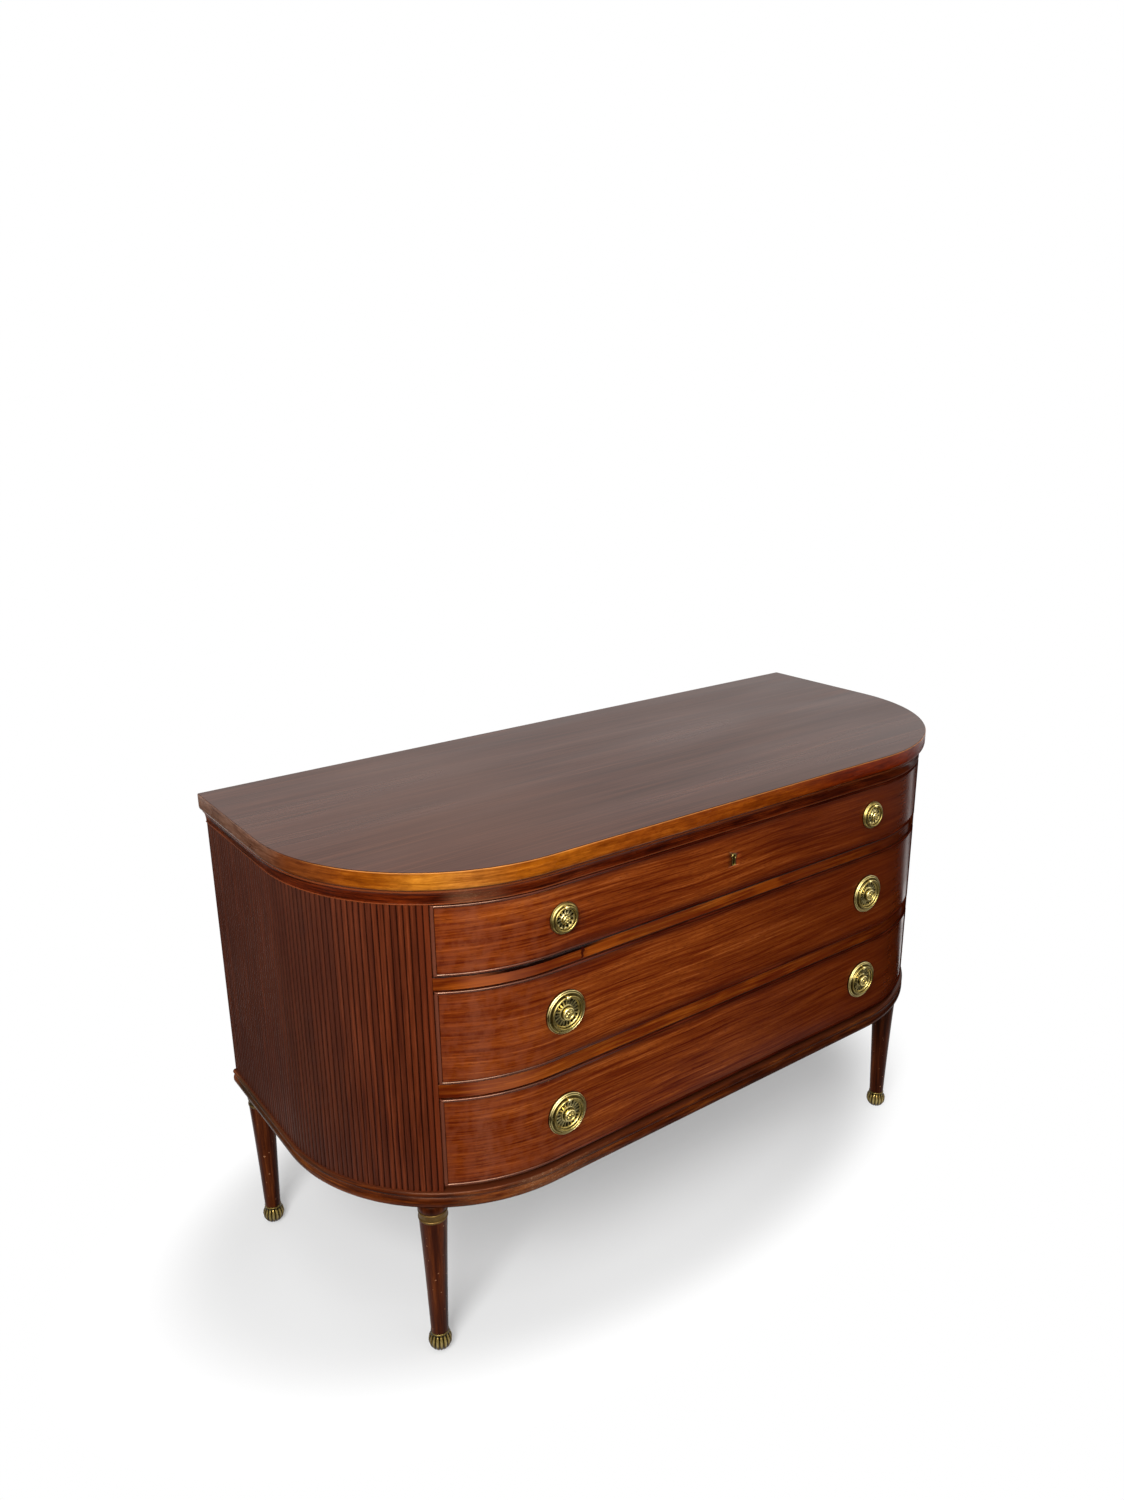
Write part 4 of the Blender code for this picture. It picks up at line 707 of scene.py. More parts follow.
MOULDING_FIGURE = {
    "sway": (6, 40, 1),
    "sway_reach": (0, 0.003, 0),
    "drift": (7, 40, 1),
    "band": (9, 160, 1),
    "streak": (20, 420, 1),
    "line": (40, 900, 1),
    "pore": (150, 1400, 1),
    "weights": (0.35, 0.40, 0.25),
}
MOULDING_COLOURS = {
    "figure": ((0.38, "#33120A"), (0.46, "#4C1E08"), (0.54, "#622C0D"), (0.62, "#7A4016")),
    "drift": "#C0AC90",
    "pore": "#1E0905",
    "pore_depth": 0.5,
}
DARK_MAHOGANY = dark_mahogany("dark_moulding_mahogany", MOULDING_COLOURS)


def base_section():
    """Edge section of the base from the underside up: quarter-round toe, full round band, quirk,
    bead and top arris, as (inset, height)."""
    round_top = BASE_HIGH.z - BASE_BEAD_HEIGHT
    height = round_top - BASE_LOW.z
    share = np.array([0.0, 0.03, 0.08, 0.16, 0.26, 0.38, 0.5, 0.62, 0.74, 0.84, 0.92, 0.97, 1.0])
    lower = np.clip(1 - share / 0.45, 0, 1) ** 2.4 * BASE_EDGE_DEPTH
    upper = np.clip((share - 0.62) / 0.38, 0, 1) ** 2.2 * BASE_GROOVE_DEPTH
    turn = np.linspace(0.06, 0.94, 13)
    bead = BASE_GROOVE_DEPTH * (1 - np.sin(np.pi * turn) ** 0.75)
    return [
        *zip(BASE_SETBACK + lower + upper, BASE_LOW.z + height * share),
        *zip(BASE_SETBACK + bead, round_top + BASE_BEAD_HEIGHT * turn),
        (BASE_SETBACK + BASE_GROOVE_DEPTH, BASE_HIGH.z),
    ]


def closed_board(edge, uv):
    """A board round a carried edge: the edge's lowest line closes the underside and its highest the
    top, and the two ends of its section close the flat back."""
    back = np.concatenate([edge[:, 0], edge[::-1, -1]])
    return [(edge, uv), (edge[0], None), (edge[-1], None), (back, None)]


make_piece(
    "moulded_base_board",
    closed_board(*carried(base_section())),
    DARK_MAHOGANY,
    "carcase",
    replaces=["base_board"],
    sharp=45,
)


# Case and drawer linings. The ends, posts, back, top frame, drawer sides, backs and bottoms are
# planed deal, pale and dry, nailed and glued together; they show when a drawer is out.
DEAL_FIGURE = {
    "sway": (4, 4, 4),
    "sway_reach": (0, 0.012, 0.012),
    "drift": (3, 6, 6),
    "band": (2.5, 40, 40),
    "streak": (4, 150, 150),
    "line": (7, 480, 480),
    "pore": (60, 1300, 1300),
    "weights": (0.22, 0.38, 0.40),
}
DEAL_TONES = ((0.38, "#8A643A"), (0.46, "#AA8854"), (0.54, "#BEA070"), (0.62, "#CCB48A"))
BOARD_WIDTH = 0.118


def turned_figure(figure, axis):
    """The figure of a board whose grain runs along another axis: 1 for y, 2 for z."""
    turned = {}
    for key, scale in figure.items():
        scale = list(scale)
        if key != "weights":
            scale[0], scale[axis] = scale[axis], scale[0]
        turned[key] = tuple(scale)
    return turned


def plan_depth(tree):
    """How far inside the plan line a point lies: corner radius less its distance from the corner's
    centre, where a coordinate short of the centre counts as nought."""
    sides = add(tree, "SeparateXYZ", [add(tree, "TexCoord").outputs["Object"]]).outputs
    beyond_x = add(tree, "Math", [sides["X"]], operation="ABSOLUTE")
    beyond_x = add(tree, "Math", [beyond_x, CORNER_X], operation="SUBTRACT")
    beyond_x = add(tree, "Math", [beyond_x, 0.0], operation="MAXIMUM")
    beyond_y = add(tree, "Math", [CORNER_Y, sides["Y"]], operation="SUBTRACT")
    beyond_y = add(tree, "Math", [beyond_y, 0.0], operation="MAXIMUM")
    beyond = add(tree, "CombineXYZ", [beyond_x, beyond_y])
    reach = add(tree, "VectorMath", [beyond], operation="LENGTH").outputs["Value"]
    return add(tree, "Math", [CORNER_RADIUS, reach], operation="SUBTRACT")


def counted(tree, value):
    """For a value that counts boards or reeds: the number of the one that it falls in, that one's
    own random tone from 0 to 1, and how far the value is from its middle, from 0 to a half."""
    number = add(tree, "Math", [value], operation="FLOOR")
    tone = add(tree, "TexWhiteNoise", {"W": number}, noise_dimensions="1D").outputs["Value"]
    off = add(tree, "Math", [value], operation="FRACT")
    off = add(tree, "Math", [off, 0.5], operation="SUBTRACT")
    return number, tone, add(tree, "Math", [off], operation="ABSOLUTE")


def planed_deal(name, stain_reach=0.0, figure=DEAL_FIGURE, boards=False):
    """Bare planed softwood: pale honey, with darker growth lines along the board and some dust. A
    board that shows at the front is stained dark for a stain reach inside the plan line. A wide
    panel is glued up from boards, whose joints show as dark lines and changes of tone."""
    material, tree = new_finish(name)
    place = add(tree, "TexCoord").outputs["Object"]
    if boards:
        height = add(tree, "SeparateXYZ", [place]).outputs["Z"]
        board = add(tree, "Math", [height, BOARD_WIDTH], operation="DIVIDE")
        number, tone, off_middle = counted(tree, board)
        place = add(tree, "VectorMath", [place, add(tree, "CombineXYZ", [number])], operation="ADD")
    grain = wood_grain(tree, place, figure)
    colour = add(tree, "ValToRGB", [grain["figure"]], stops=DEAL_TONES)
    if boards:
        colour = stained(tree, colour, ("#96703F", (tone, 0.0, 1.0, 0.0, 0.45)))
        colour = stained(tree, colour, ("#2E1E10", (off_middle, 0.492, 0.497, 0.0, 0.85)))
    colour = stained(tree, colour, ("#C0A68A", (grain["drift"], 0.35, 0.75, 0.0, 0.8)), blend_type="MULTIPLY")
    colour = stained(tree, colour, ("#6E4F2C", (grain["pore"], 0.58, 0.75, 0.0, 0.4)))
    if stain_reach:
        colour = stained(tree, colour, ("#2A0E05", (plan_depth(tree), stain_reach, stain_reach - 0.004)))
    surface = {
        "Base Color": colour,
        "Roughness": add(tree, "MapRange", [grain["drift"], 0.2, 0.8, 0.62, 0.82]),
        "Normal": add(tree, "Bump", {"Height": grain["figure"], "Strength": 0.25, "Distance": 0.0003}),
    }
    add(tree, "OutputMaterial", [add(tree, "BsdfPrincipled", surface)])
    return material


PLANED_DEAL = planed_deal("planed_deal")
EDGE_STAINED_DEAL = planed_deal("edge_stained_deal", 0.045)
SIDE_DEAL = planed_deal("planed_deal_fore_and_aft", figure=turned_figure(DEAL_FIGURE, 1))
UPRIGHT_DEAL = planed_deal("planed_deal_upright", figure=turned_figure(DEAL_FIGURE, 2))
PANEL_DEAL = planed_deal("planed_deal_glued_boards", boards=True)
DRAWERS = ("bottom", "middle", "top")
LININGS = {
    "back_panel": PANEL_DEAL,
    "top_frame": EDGE_STAINED_DEAL,
    "bottom_board": EDGE_STAINED_DEAL,
    "lower_rail_board": EDGE_STAINED_DEAL,
    "upper_rail_board": EDGE_STAINED_DEAL,
}
for side in ("left", "right"):
    LININGS["end_wall_" + side] = UPRIGHT_DEAL
    LININGS["back_post_" + side] = UPRIGHT_DEAL
    LININGS["front_post_" + side] = EDGE_STAINED_DEAL
for drawer in DRAWERS:
    LININGS[drawer + "_drawer_side_left"] = SIDE_DEAL
    LININGS[drawer + "_drawer_side_right"] = SIDE_DEAL
    LININGS[drawer + "_drawer_back"] = PLANED_DEAL
    LININGS[drawer + "_drawer_bottom"] = PLANED_DEAL


def refinish(node, material):
    """Gives a CAD node's mesh another finish."""
    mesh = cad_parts[node].data
    mesh.materials.clear()
    mesh.materials.append(material)


for node_name, material in LININGS.items():
    refinish(node_name, material)


# Reeded skins. Slender convex reeds worked side by side in mahogany and bent round the ends, from
# the back corner to the drawers; dark polish lies in the grooves and is rubbed off the crests.
SKIN_LOW, SKIN_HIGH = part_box("reeded_skin_left")
OPENING_HALF_WIDTH = -SKIN_HIGH.x
CASE_SETBACK = 0.0080
REED_COUNT = 60
REED_STEPS = 14
REED_SPAN = 0.985
REED_DEPTH = 0.0028
SKIN_THICKNESS = 0.0055
REED_ROWS = 9
REED_TONES = ((0.32, "#3C1307"), (0.48, "#56230E"), (0.66, "#6C3018"))


def reeded_wood():
    """Each reed takes its own tone from its number, and lies darker in the groove on either side.
    Away from the drawers the skin is painted greyer, as a pale reflection, and the last reeds
    beside them are redder."""
    material, tree = new_finish("reeded_mahogany_polish")
    place = add(tree, "SeparateXYZ", [add(tree, "UVMap", uv_map="metres")]).outputs
    reed = add(tree, "Math", [place["X"], REED_COUNT], operation="MULTIPLY")
    number, tone, off_middle = counted(tree, reed)
    streaks = add(tree, "CombineXYZ", [reed, place["Y"], number])
    streaks = add(tree, "Mapping", {"Vector": streaks, "Scale": (2.2, 9.0, 1.7)})
    streaks = add(tree, "TexNoise", {"Vector": streaks, "Scale": 1.0, "Detail": 5.0, "Roughness": 0.6})
    patch = add(tree, "TexCoord").outputs["Object"]
    patch = add(tree, "TexNoise", {"Vector": patch, "Scale": 7.0, "Detail": 3.0})
    colour = stained(
        tree,
        add(tree, "ValToRGB", [streaks], stops=REED_TONES),
        ("#34130A", (tone, 0.0, 1.0, 0.0, 0.55)),
        # Painted reflection: greyer away from the drawers.
        ("#3C251E", (place["X"], 0.98, 0.55, 0.0, 0.60)),
        ("#6E2C12", (place["X"], 0.962, 0.972, 0.0, 0.3)),
        ("#33120C", (patch, 0.45, 0.7, 0.0, 0.3)),
        ("#1C0805", (off_middle, 0.30, 0.49, 0.0, 0.85)),
    )
    surface = {
        "Base Color": colour,
        "Roughness": add(tree, "MapRange", [patch, 0.3, 0.7, 0.32, 0.44]),
        "IOR": SHELLAC_IOR,
        "Specular IOR Level": 0.12,
        "Specular Tint": POLISH_TINT,
        "Normal": add(tree, "Bump", {"Height": streaks, "Strength": 0.10, "Distance": 0.0003}),
    }
    add(tree, "OutputMaterial", [add(tree, "BsdfPrincipled", surface)])
    return material


REEDED_MAHOGANY = reeded_wood()


def end_line(share, inset):
    """A point at a share of the way from the back corner to the drawers, moved in by inset: straight
    along the side first, then round the corner's arc."""
    straight = BACK_Y - CORNER_Y
    radius = CORNER_RADIUS - CASE_SETBACK
    length = straight + radius * math.acos((OPENING_HALF_WIDTH - CORNER_X) / radius)
    along = share * length
    turn = np.clip(along - straight, 0, None) / radius
    reach = CORNER_RADIUS - inset
    x = -(CORNER_X + reach * np.cos(turn))
    y = CORNER_Y + np.clip(straight - along, 0, None) - reach * np.sin(turn)
    return np.minimum(x, -OPENING_HALF_WIDTH), y


def reeded_skin(side):
    """The reeds' surface over the share along the end and the height: inset = setback + depth *
    (1 - root(1 - c * c)), where c runs across each reed from just over -1 to just under 1. side 1
    mirrors it."""
    columns = REED_COUNT * REED_STEPS
    share = np.linspace(0, 1, columns + 1)
    across = REED_SPAN * ((np.arange(columns + 1) % REED_STEPS) / REED_STEPS * 2 - 1)
    across[-1] = REED_SPAN
    insets = (CASE_SETBACK + REED_DEPTH * (1 - np.sqrt(1 - across**2)), CASE_SETBACK + SKIN_THICKNESS)
    height = np.linspace(SKIN_LOW.z, SKIN_HIGH.z, REED_ROWS)[:, None]
    lines = [end_line(share, inset) for inset in insets]
    outer, inner = (np.stack(np.broadcast_arrays(-side * x, y, height), -1) for x, y in lines)
    uv = np.stack(np.broadcast_arrays(share, height), -1)
    ends = [(np.stack([outer[:, i], inner[:, i]]), None) for i in (0, -1)]
    lids = [(np.stack([outer[i], inner[i]]), None) for i in (0, -1)]
    return [(outer, uv), (inner, uv), *ends, *lids]


for side, word in ((-1, "left"), (1, "right")):
    make_piece(
        "reeded_end_" + word,
        reeded_skin(side),
        REEDED_MAHOGANY,
        "carcase",
        replaces=["reeded_skin_" + word],
        sharp=75,
    )


# Rail edges. The front edges of the boards between the drawers are faced with mahogany, bowed to
# the plan and set a little behind the drawer fronts; the bottom board's edge is faced dark.
FACING_STEPS = 22
FACING_THICKNESS = 0.0012
FACING_PROUD = 0.00012


def bow_y(inset, x):
    """Depth of the bowed front moved in by inset, at x: straight in the middle, and past the corner's
    centre a circle, y = centre - root(radius squared - distance squared)."""
    beyond = np.clip(np.abs(x) - CORNER_X, 0, None)
    return CORNER_Y - np.sqrt((CORNER_RADIUS - inset) ** 2 - beyond**2)


def across_front(half_width, ends=()):
    """x places across the front: even steps in the middle, finer round the bends, and extra places
    near the ends, given as rising distances from the end."""
    straight = np.linspace(-CORNER_X, CORNER_X, FACING_STEPS)
    reach = half_width - max(ends, default=0)
    bend = CORNER_X + (reach - CORNER_X) * np.linspace(0, 1, 29)[1:]
    right = np.concatenate([bend, half_width - np.array(ends)[-2::-1]])
    return np.concatenate([-right[::-1], straight, right])


def bowed_strip(half_width, section):
    """A strip whose closed section of (inset, height) is drawn across the bowed front."""
    x = across_front(half_width)
    section = np.asarray(section, float)
    inset, height = section[:, :1], section[:, 1:]
    points = np.stack(np.broadcast_arrays(x[None, :], bow_y(inset, x[None, :]), height), -1)
    uv = np.stack(np.broadcast_arrays(run(x, bow_y(inset[0], x))[None, :], height), -1)
    return closed_strip(points, uv)


def rail_section(low, high, setback):
    """Section of a facing: front face with tiny eased arrises, and a flat back."""
    face, back, ease = setback - FACING_PROUD, setback + FACING_THICKNESS, ARRIS
    return [
        (back, low),
        (face + ease, low),
        (face, low + ease),
        (face, high - ease),
        (face + ease, high),
        (back, high),
        (back, low),
    ]


RIBBON_FIGURE = {
    "sway": (3.2, 5, 1),
    "sway_reach": (0, 0.022, 0),
    "drift": (3, 13, 1),
    "band": (2.2, 46, 1),
    "streak": (7.5, 180, 1),
    "line": (13, 480, 1),
    "pore": (110, 850, 1),
    "weights": (0.18, 0.44, 0.38),
}


def ribbon_mahogany(name, colours, extra, gloss):
    """Ribbon-stripe mahogany veneer under French polish: bands of reversed grain along the length,
    dark wavy lines a few millimetres apart, and short pore dashes."""
    return polished_wood(name, RIBBON_FIGURE, colours, (0.16, 0.26), gloss, coordinate="uv", extra=extra)


RAIL_COLOURS = {
    "figure": ((0.36, "#5E1E08"), (0.46, "#702C0B"), (0.54, "#84400F"), (0.63, "#A2581C")),
    "drift": "#E4D8D0",
    "pore": "#4A1A08",
    "pore_depth": 0.3,
}
# Painted shade toward both ends of the rails, most at the right.
RAIL_END_SHADE = (
    (0.0, "#C0A8A0"),
    (0.08, "#FFF4EC"),
    (0.30, "#FFFFFF"),
    (0.62, "#F4E8E0"),
    (0.80, "#C0A8A0"),
    (1.0, "#A08078"),
)
FACE_LENGTH = 0.99
CHIP_PLACE = (-0.272, 0.5915)


def rail_wear_shade_and_sheen(tree, place, colour):
    """The rails are painted darker toward both ends, most at the right, as shade, and are worn in
    patches; a pinkish painted sheen lies at the left curve. A painted shadow of the gap lies over
    the upper one's left half, where the drawer has dropped, and a chip has broken out of it there,
    painted dark for the shade in its notch."""
    parts = add(tree, "SeparateXYZ", [place]).outputs
    along = add(tree, "Math", [parts["X"], FACE_LENGTH], operation="DIVIDE")
    ends = add(tree, "ValToRGB", [along], stops=RAIL_END_SHADE)
    # Painted shade toward both ends.
    colour = stained(tree, colour, (ends, 1.0), blend_type="MULTIPLY")
    patch = add(tree, "Mapping", {"Vector": place, "Scale": (10, 24, 1)})
    patch = add(tree, "TexNoise", {"Vector": patch, "Scale": 1.0, "Detail": 2.0})
    gap = (parts["Y"], UPPER_RAIL_TOP - 0.0042, UPPER_RAIL_TOP - 0.0032)
    spot = add(tree, "TexCoord").outputs["Object"]
    chip = add(tree, "TexNoise", {"Vector": spot, "Scale": 210.0, "Detail": 3.0}).outputs["Color"]
    chip = add(tree, "VectorMath", [chip, (0.5, 0.5, 0.5)], operation="SUBTRACT")
    chip = add(tree, "VectorMath", [chip, (0.010, 0, 0.006)], operation="MULTIPLY")
    chip = add(tree, "VectorMath", [spot, chip], operation="ADD")
    chip = add(tree, "VectorMath", [chip, (CHIP_PLACE[0], 0, CHIP_PLACE[1])], operation="SUBTRACT")
    chip = add(tree, "VectorMath", [chip, (330, 0, 105)], operation="MULTIPLY")
    chip = add(tree, "VectorMath", [chip], operation="LENGTH").outputs["Value"]
    return stained(
        tree,
        colour,
        ("#AA520F", (patch, 0.50, 0.64, 0.0, 0.35)),
        ("#68290E", (patch, 0.50, 0.36, 0.0, 0.45)),
        # Painted sheen at the left curve.
        ("#94563A", (along, 0.02, 0.07, 0.0, 0.35), (along, 0.16, 0.09)),
        # Painted shadow in the gap under the dropped drawer.
        ("#140402", gap, (along, 0.03, 0.10), (along, 0.27, 0.21)),
        # The chip, painted dark for the shade in its notch.
        ("#2E0804", (chip, 1.1, 0.8, 0.0, 0.9)),
    )


def rail_gloss(tree, place):
    """The rails' polish is dull, and worn off where they end at the right."""
    along = add(tree, "SeparateXYZ", [place]).outputs["X"]
    return add(tree, "MapRange", [along, 0.92, 0.82, 0.0, 0.15])


LOWER_RAIL_HEIGHT = 0.0200
UPPER_RAIL_HEIGHT = 0.0175
BOTTOM_EDGE_HEIGHT = 0.0067
UPPER_RAIL_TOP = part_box("upper_rail_board")[0].z + UPPER_RAIL_HEIGHT
RAIL_MAHOGANY = ribbon_mahogany("rail_mahogany_polish", RAIL_COLOURS, rail_wear_shade_and_sheen, rail_gloss)
RAIL_SETBACK = 0.0100
BOTTOM_SETBACK = 0.0170
RECESS_COLOURS = {
    "figure": ((0.38, "#3C1208"), (0.50, "#54200E"), (0.62, "#6A2C14")),
    "drift": "#A08C7C",
    "pore": "#160503",
    "pore_depth": 0.5,
}
BOTTOM_EDGE_MAHOGANY = dark_mahogany("recess_mahogany", RECESS_COLOURS, green="#2A140C")
for node_name, height, setback, material, slot_name in (
    ("lower_rail_board", LOWER_RAIL_HEIGHT, RAIL_SETBACK, RAIL_MAHOGANY, "rail_mahogany"),
    ("upper_rail_board", UPPER_RAIL_HEIGHT, RAIL_SETBACK, RAIL_MAHOGANY, "rail_mahogany"),
    ("bottom_board", BOTTOM_EDGE_HEIGHT, BOTTOM_SETBACK, BOTTOM_EDGE_MAHOGANY, "dark_mahogany"),
):
    low_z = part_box(node_name)[0].z
    make_piece(
        node_name.replace("_board", "_facing"),
        bowed_strip(OPENING_HALF_WIDTH - PIECE_GAP, rail_section(low_z, low_z + height, setback)),
        material,
        "carcase",
    )


# Drawer fronts. A bowed mahogany core, dovetailed to the sides, is veneered with ribbon-stripe
# mahogany, and a half-round cock bead of harder mahogany is let in all round the edge and mitred.
FRONT_SETBACK = 0.0090
# Painted shade toward the ends of the drawer fronts, most at the right.
FRONT_END_SHADE = ((0.0, "#E8E0DC"), (0.12, "#FFFFFF"), (0.40, "#FCF8F4"), (0.70, "#E4DAD4"), (1.0, "#D4C6BE"))
BEAD_WIDTH = 0.0036
BEAD_STAND = 0.0015
QUIRK_WIDTH = 0.0009
QUIRK_DEPTH = 0.0006
BEAD_PLACES = (0, 0.0002, 0.0006, 0.0011, 0.0018, 0.0025, 0.0030, 0.0034, 0.0036)
QUIRK_PLACES = (0.0039, 0.0042, 0.0045, 0.0060, 0.0100)
FRONT_COLOURS = {
    "figure": ((0.35, "#541A07"), (0.43, "#6C290B"), (0.50, "#7F3911"), (0.57, "#914617"), (0.65, "#A65824")),
    "drift": "#DCC8BE",
    "pore": "#46180A",
    "pore_depth": 0.45,
}
CORE_COLOURS = {
    "figure": ((0.38, "#3A1406"), (0.50, "#54220C"), (0.62, "#6C3014")),
    "drift": "#C8B4A4",
    "pore": "#2A0D06",
    "pore_depth": 0.4,
}


def bead_stand(edge_distance):
    """How far the face stands proud at a distance from the nearest edge: a half-round bead, a small
    sunk quirk inside it, then the flat veneer."""
    across = np.clip(edge_distance / BEAD_WIDTH, 0, 1)
    bead = BEAD_STAND * np.sqrt(np.clip(1 - (2 * across - 1) ** 2, 0, 1))
    quirk = (edge_distance - BEAD_WIDTH) / QUIRK_WIDTH
    return bead - QUIRK_DEPTH * np.sin(np.pi * np.clip(quirk, 0, 1))


def from_edge(half_width, low_z, high_z):
    """How far a place on a drawer's front lies from the nearest of its four edges, in metres."""
    return lambda x, y, z: np.minimum(half_width - np.abs(x), np.minimum(z - low_z, high_z - z))


def drawer_sheets(half_width, low_z, high_z):
    """Front and rear sheets of a drawer's facing over x and height: y = bow at (setback - stand),
    where the stand follows the distance to the nearest of the four edges, so the beads mitre."""
    tips = np.array(BEAD_PLACES + QUIRK_PLACES)
    x = across_front(half_width, tips)
    middle = np.linspace(low_z + tips[-1], high_z - tips[-1], 9)[1:-1]
    z = np.concatenate([low_z + tips, middle, high_z - tips[::-1]])
    x_grid, z_grid = np.meshgrid(x, z)
    edge = from_edge(half_width, low_z, high_z)(x_grid, 0, z_grid)
    proud = bead_stand(edge) + FACING_PROUD
    front = np.stack([x_grid, bow_y(FRONT_SETBACK - proud, x_grid), z_grid], -1)
    rear = np.stack([x_grid, bow_y(FRONT_SETBACK + FACING_THICKNESS, x_grid), z_grid], -1)
    uv = np.stack(np.broadcast_arrays(run(x, bow_y(FRONT_SETBACK, x))[None, :], z_grid), -1)
    return front, rear, uv


def rims(front, rear, uv):
    """The four walls that join a front sheet to its rear sheet."""
    edges = [np.s_[0], np.s_[-1], np.s_[:, 0], np.s_[:, -1]]
    return [(np.stack([front[edge], rear[edge]]), np.stack([uv[edge], uv[edge]])) for edge in edges]


INSIDE_BEAD = slice(len(BEAD_PLACES) - 1, 1 - len(BEAD_PLACES))


def bead_frame(front, rear, uv):
    """The bead's share of the sheets: the rows and columns nearer the edge than the bead's width,
    front and rear, with walls outside and inside."""
    low, high = slice(len(BEAD_PLACES)), slice(-len(BEAD_PLACES), None)
    bands = [np.s_[low], np.s_[high], np.s_[INSIDE_BEAD, low], np.s_[INSIDE_BEAD, high]]
    patches = [(sheet[band], uv[band]) for sheet in (front, rear) for band in bands]
    inner = np.s_[INSIDE_BEAD, INSIDE_BEAD]
    return patches + rims(front, rear, uv) + rims(front[inner], rear[inner], uv[inner])


def veneer_field(front, rear, uv):
    """The sheets inside the bead, closed by walls."""
    front, rear, uv = (sheet[INSIDE_BEAD, INSIDE_BEAD] for sheet in (front, rear, uv))
    return [(front, uv), (rear, uv), *rims(front, rear, uv)]


def soil_shade_and_sheen(tree, place, colour):
    """Wax and dirt darken the veneer beside the bead, and painted shade darkens the quirk. A pinkish
    painted sheen lies at the left; the veneer is redder toward the right, and painted shade
    darkens it toward both ends, most at the right."""
    edge = add(tree, "Attribute", attribute_name="edge_distance").outputs["Fac"]
    along = add(tree, "SeparateXYZ", [place]).outputs["X"]
    share = add(tree, "Math", [along, FACE_LENGTH], operation="DIVIDE")
    sheen_patch = add(tree, "Mapping", {"Vector": place, "Scale": (14, 9, 1)})
    sheen_patch = add(tree, "TexNoise", {"Vector": sheen_patch, "Detail": 3.0})
    colour = stained(
        tree,
        colour,
        ("#42180E", (edge, 0.0150, 0.0050, 0.0, 0.6), (along, 0.10, 0.24, 0.35, 1.0)),
        # Painted shade in the quirk.
        ("#220904", (edge, 0.0046, 0.0041, 0.0, 0.75)),
        # Painted sheen at the left.
        ("#83442A", (along, 0.26, 0.04, 0.0, 0.4), (sheen_patch, 0.35, 0.65)),
        # Redder toward the right, and darker there as painted shade.
        ("#752F0E", (share, 0.35, 0.95, 0.0, 0.5)),
    )
    # Painted shade toward both ends, most at the right.
    end_shade = add(tree, "ValToRGB", [share], stops=FRONT_END_SHADE)
    return stained(tree, colour, (end_shade, 1.0), blend_type="MULTIPLY")


def front_gloss(tree, place):
    """The veneer's mirror stops at the dull wax in the quirk beside the bead."""
    edge = add(tree, "Attribute", attribute_name="edge_distance").outputs["Fac"]
    return add(tree, "MapRange", [edge, 0.0046, 0.0058, 0.0, 0.3])


def bead_gloss(tree, place):
    """The bead is brightly polished round the left curve and rubbed dull along the front."""
    along = add(tree, "SeparateXYZ", [place]).outputs["X"]
    return within(tree, (along, 0.32, 0.10), (along, 0.0034, 0.0046, 0.1, 1.0))


def upright_bead_sheen(tree, place, colour):
    """The upright at the left end is painted paler than the rest, as a soft sheen."""
    along = add(tree, "SeparateXYZ", [place]).outputs["X"]
    # Painted sheen on the upright bead.
    return stained(tree, colour, ("#623626", (along, 0.0042, 0.0034, 0.0, 0.8)))


FRONT_MAHOGANY = ribbon_mahogany("ribbon_stripe_veneer", FRONT_COLOURS, soil_shade_and_sheen, front_gloss)
BEAD_MAHOGANY = polished_wood(
    "cock_bead_mahogany",
    MOULDING_FIGURE,
    {
        "figure": ((0.38, "#3A1208"), (0.50, "#4A190B"), (0.62, "#5C2412")),
        "drift": "#D0BCB0",
        "pore": "#2A0B05",
        "pore_depth": 0.3,
    },
    (0.12, 0.20),
    gloss=bead_gloss,
    coordinate="uv",
    extra=upright_bead_sheen,
)
CORE_MAHOGANY = polished_wood("drawer_core_mahogany", RIBBON_FIGURE, CORE_COLOURS, (0.5, 0.6), gloss=0.2)
for drawer in DRAWERS:
    node_name = drawer + "_drawer_front"
    low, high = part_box(node_name)
    sheets = drawer_sheets(high.x, low.z, high.z)
    veneer = make_piece(
        drawer + "_drawer_veneer",
        veneer_field(*sheets),
        FRONT_MAHOGANY,
        "drawer_" + drawer,
        sharp=60,
    )
    mark(veneer, "edge_distance", from_edge(high.x, low.z, high.z))
    make_piece(
        drawer + "_drawer_cock_bead",
        bead_frame(*sheets),
        BEAD_MAHOGANY,
        "drawer_" + drawer,
        sharp=60,
    )
    refinish(node_name, CORE_MAHOGANY)


# Moulding under the top. A planted strip: a square fillet above a hollow cove, mitred into one line
# by bending it round the corners; dark and worn like the base, with the same painted sheen and
# glints at the left corner and painted shade toward the right.
MOULDING_LOW, MOULDING_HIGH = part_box("top_moulding")
MOULDING_SETBACK = 0.0047
FILLET_HEIGHT = 0.0034
FOOT_FILLET = 0.0018
COVE_DEPTH = 0.0038
MOULDING_BACK = 0.0160
FILLET_EASE = 0.0005


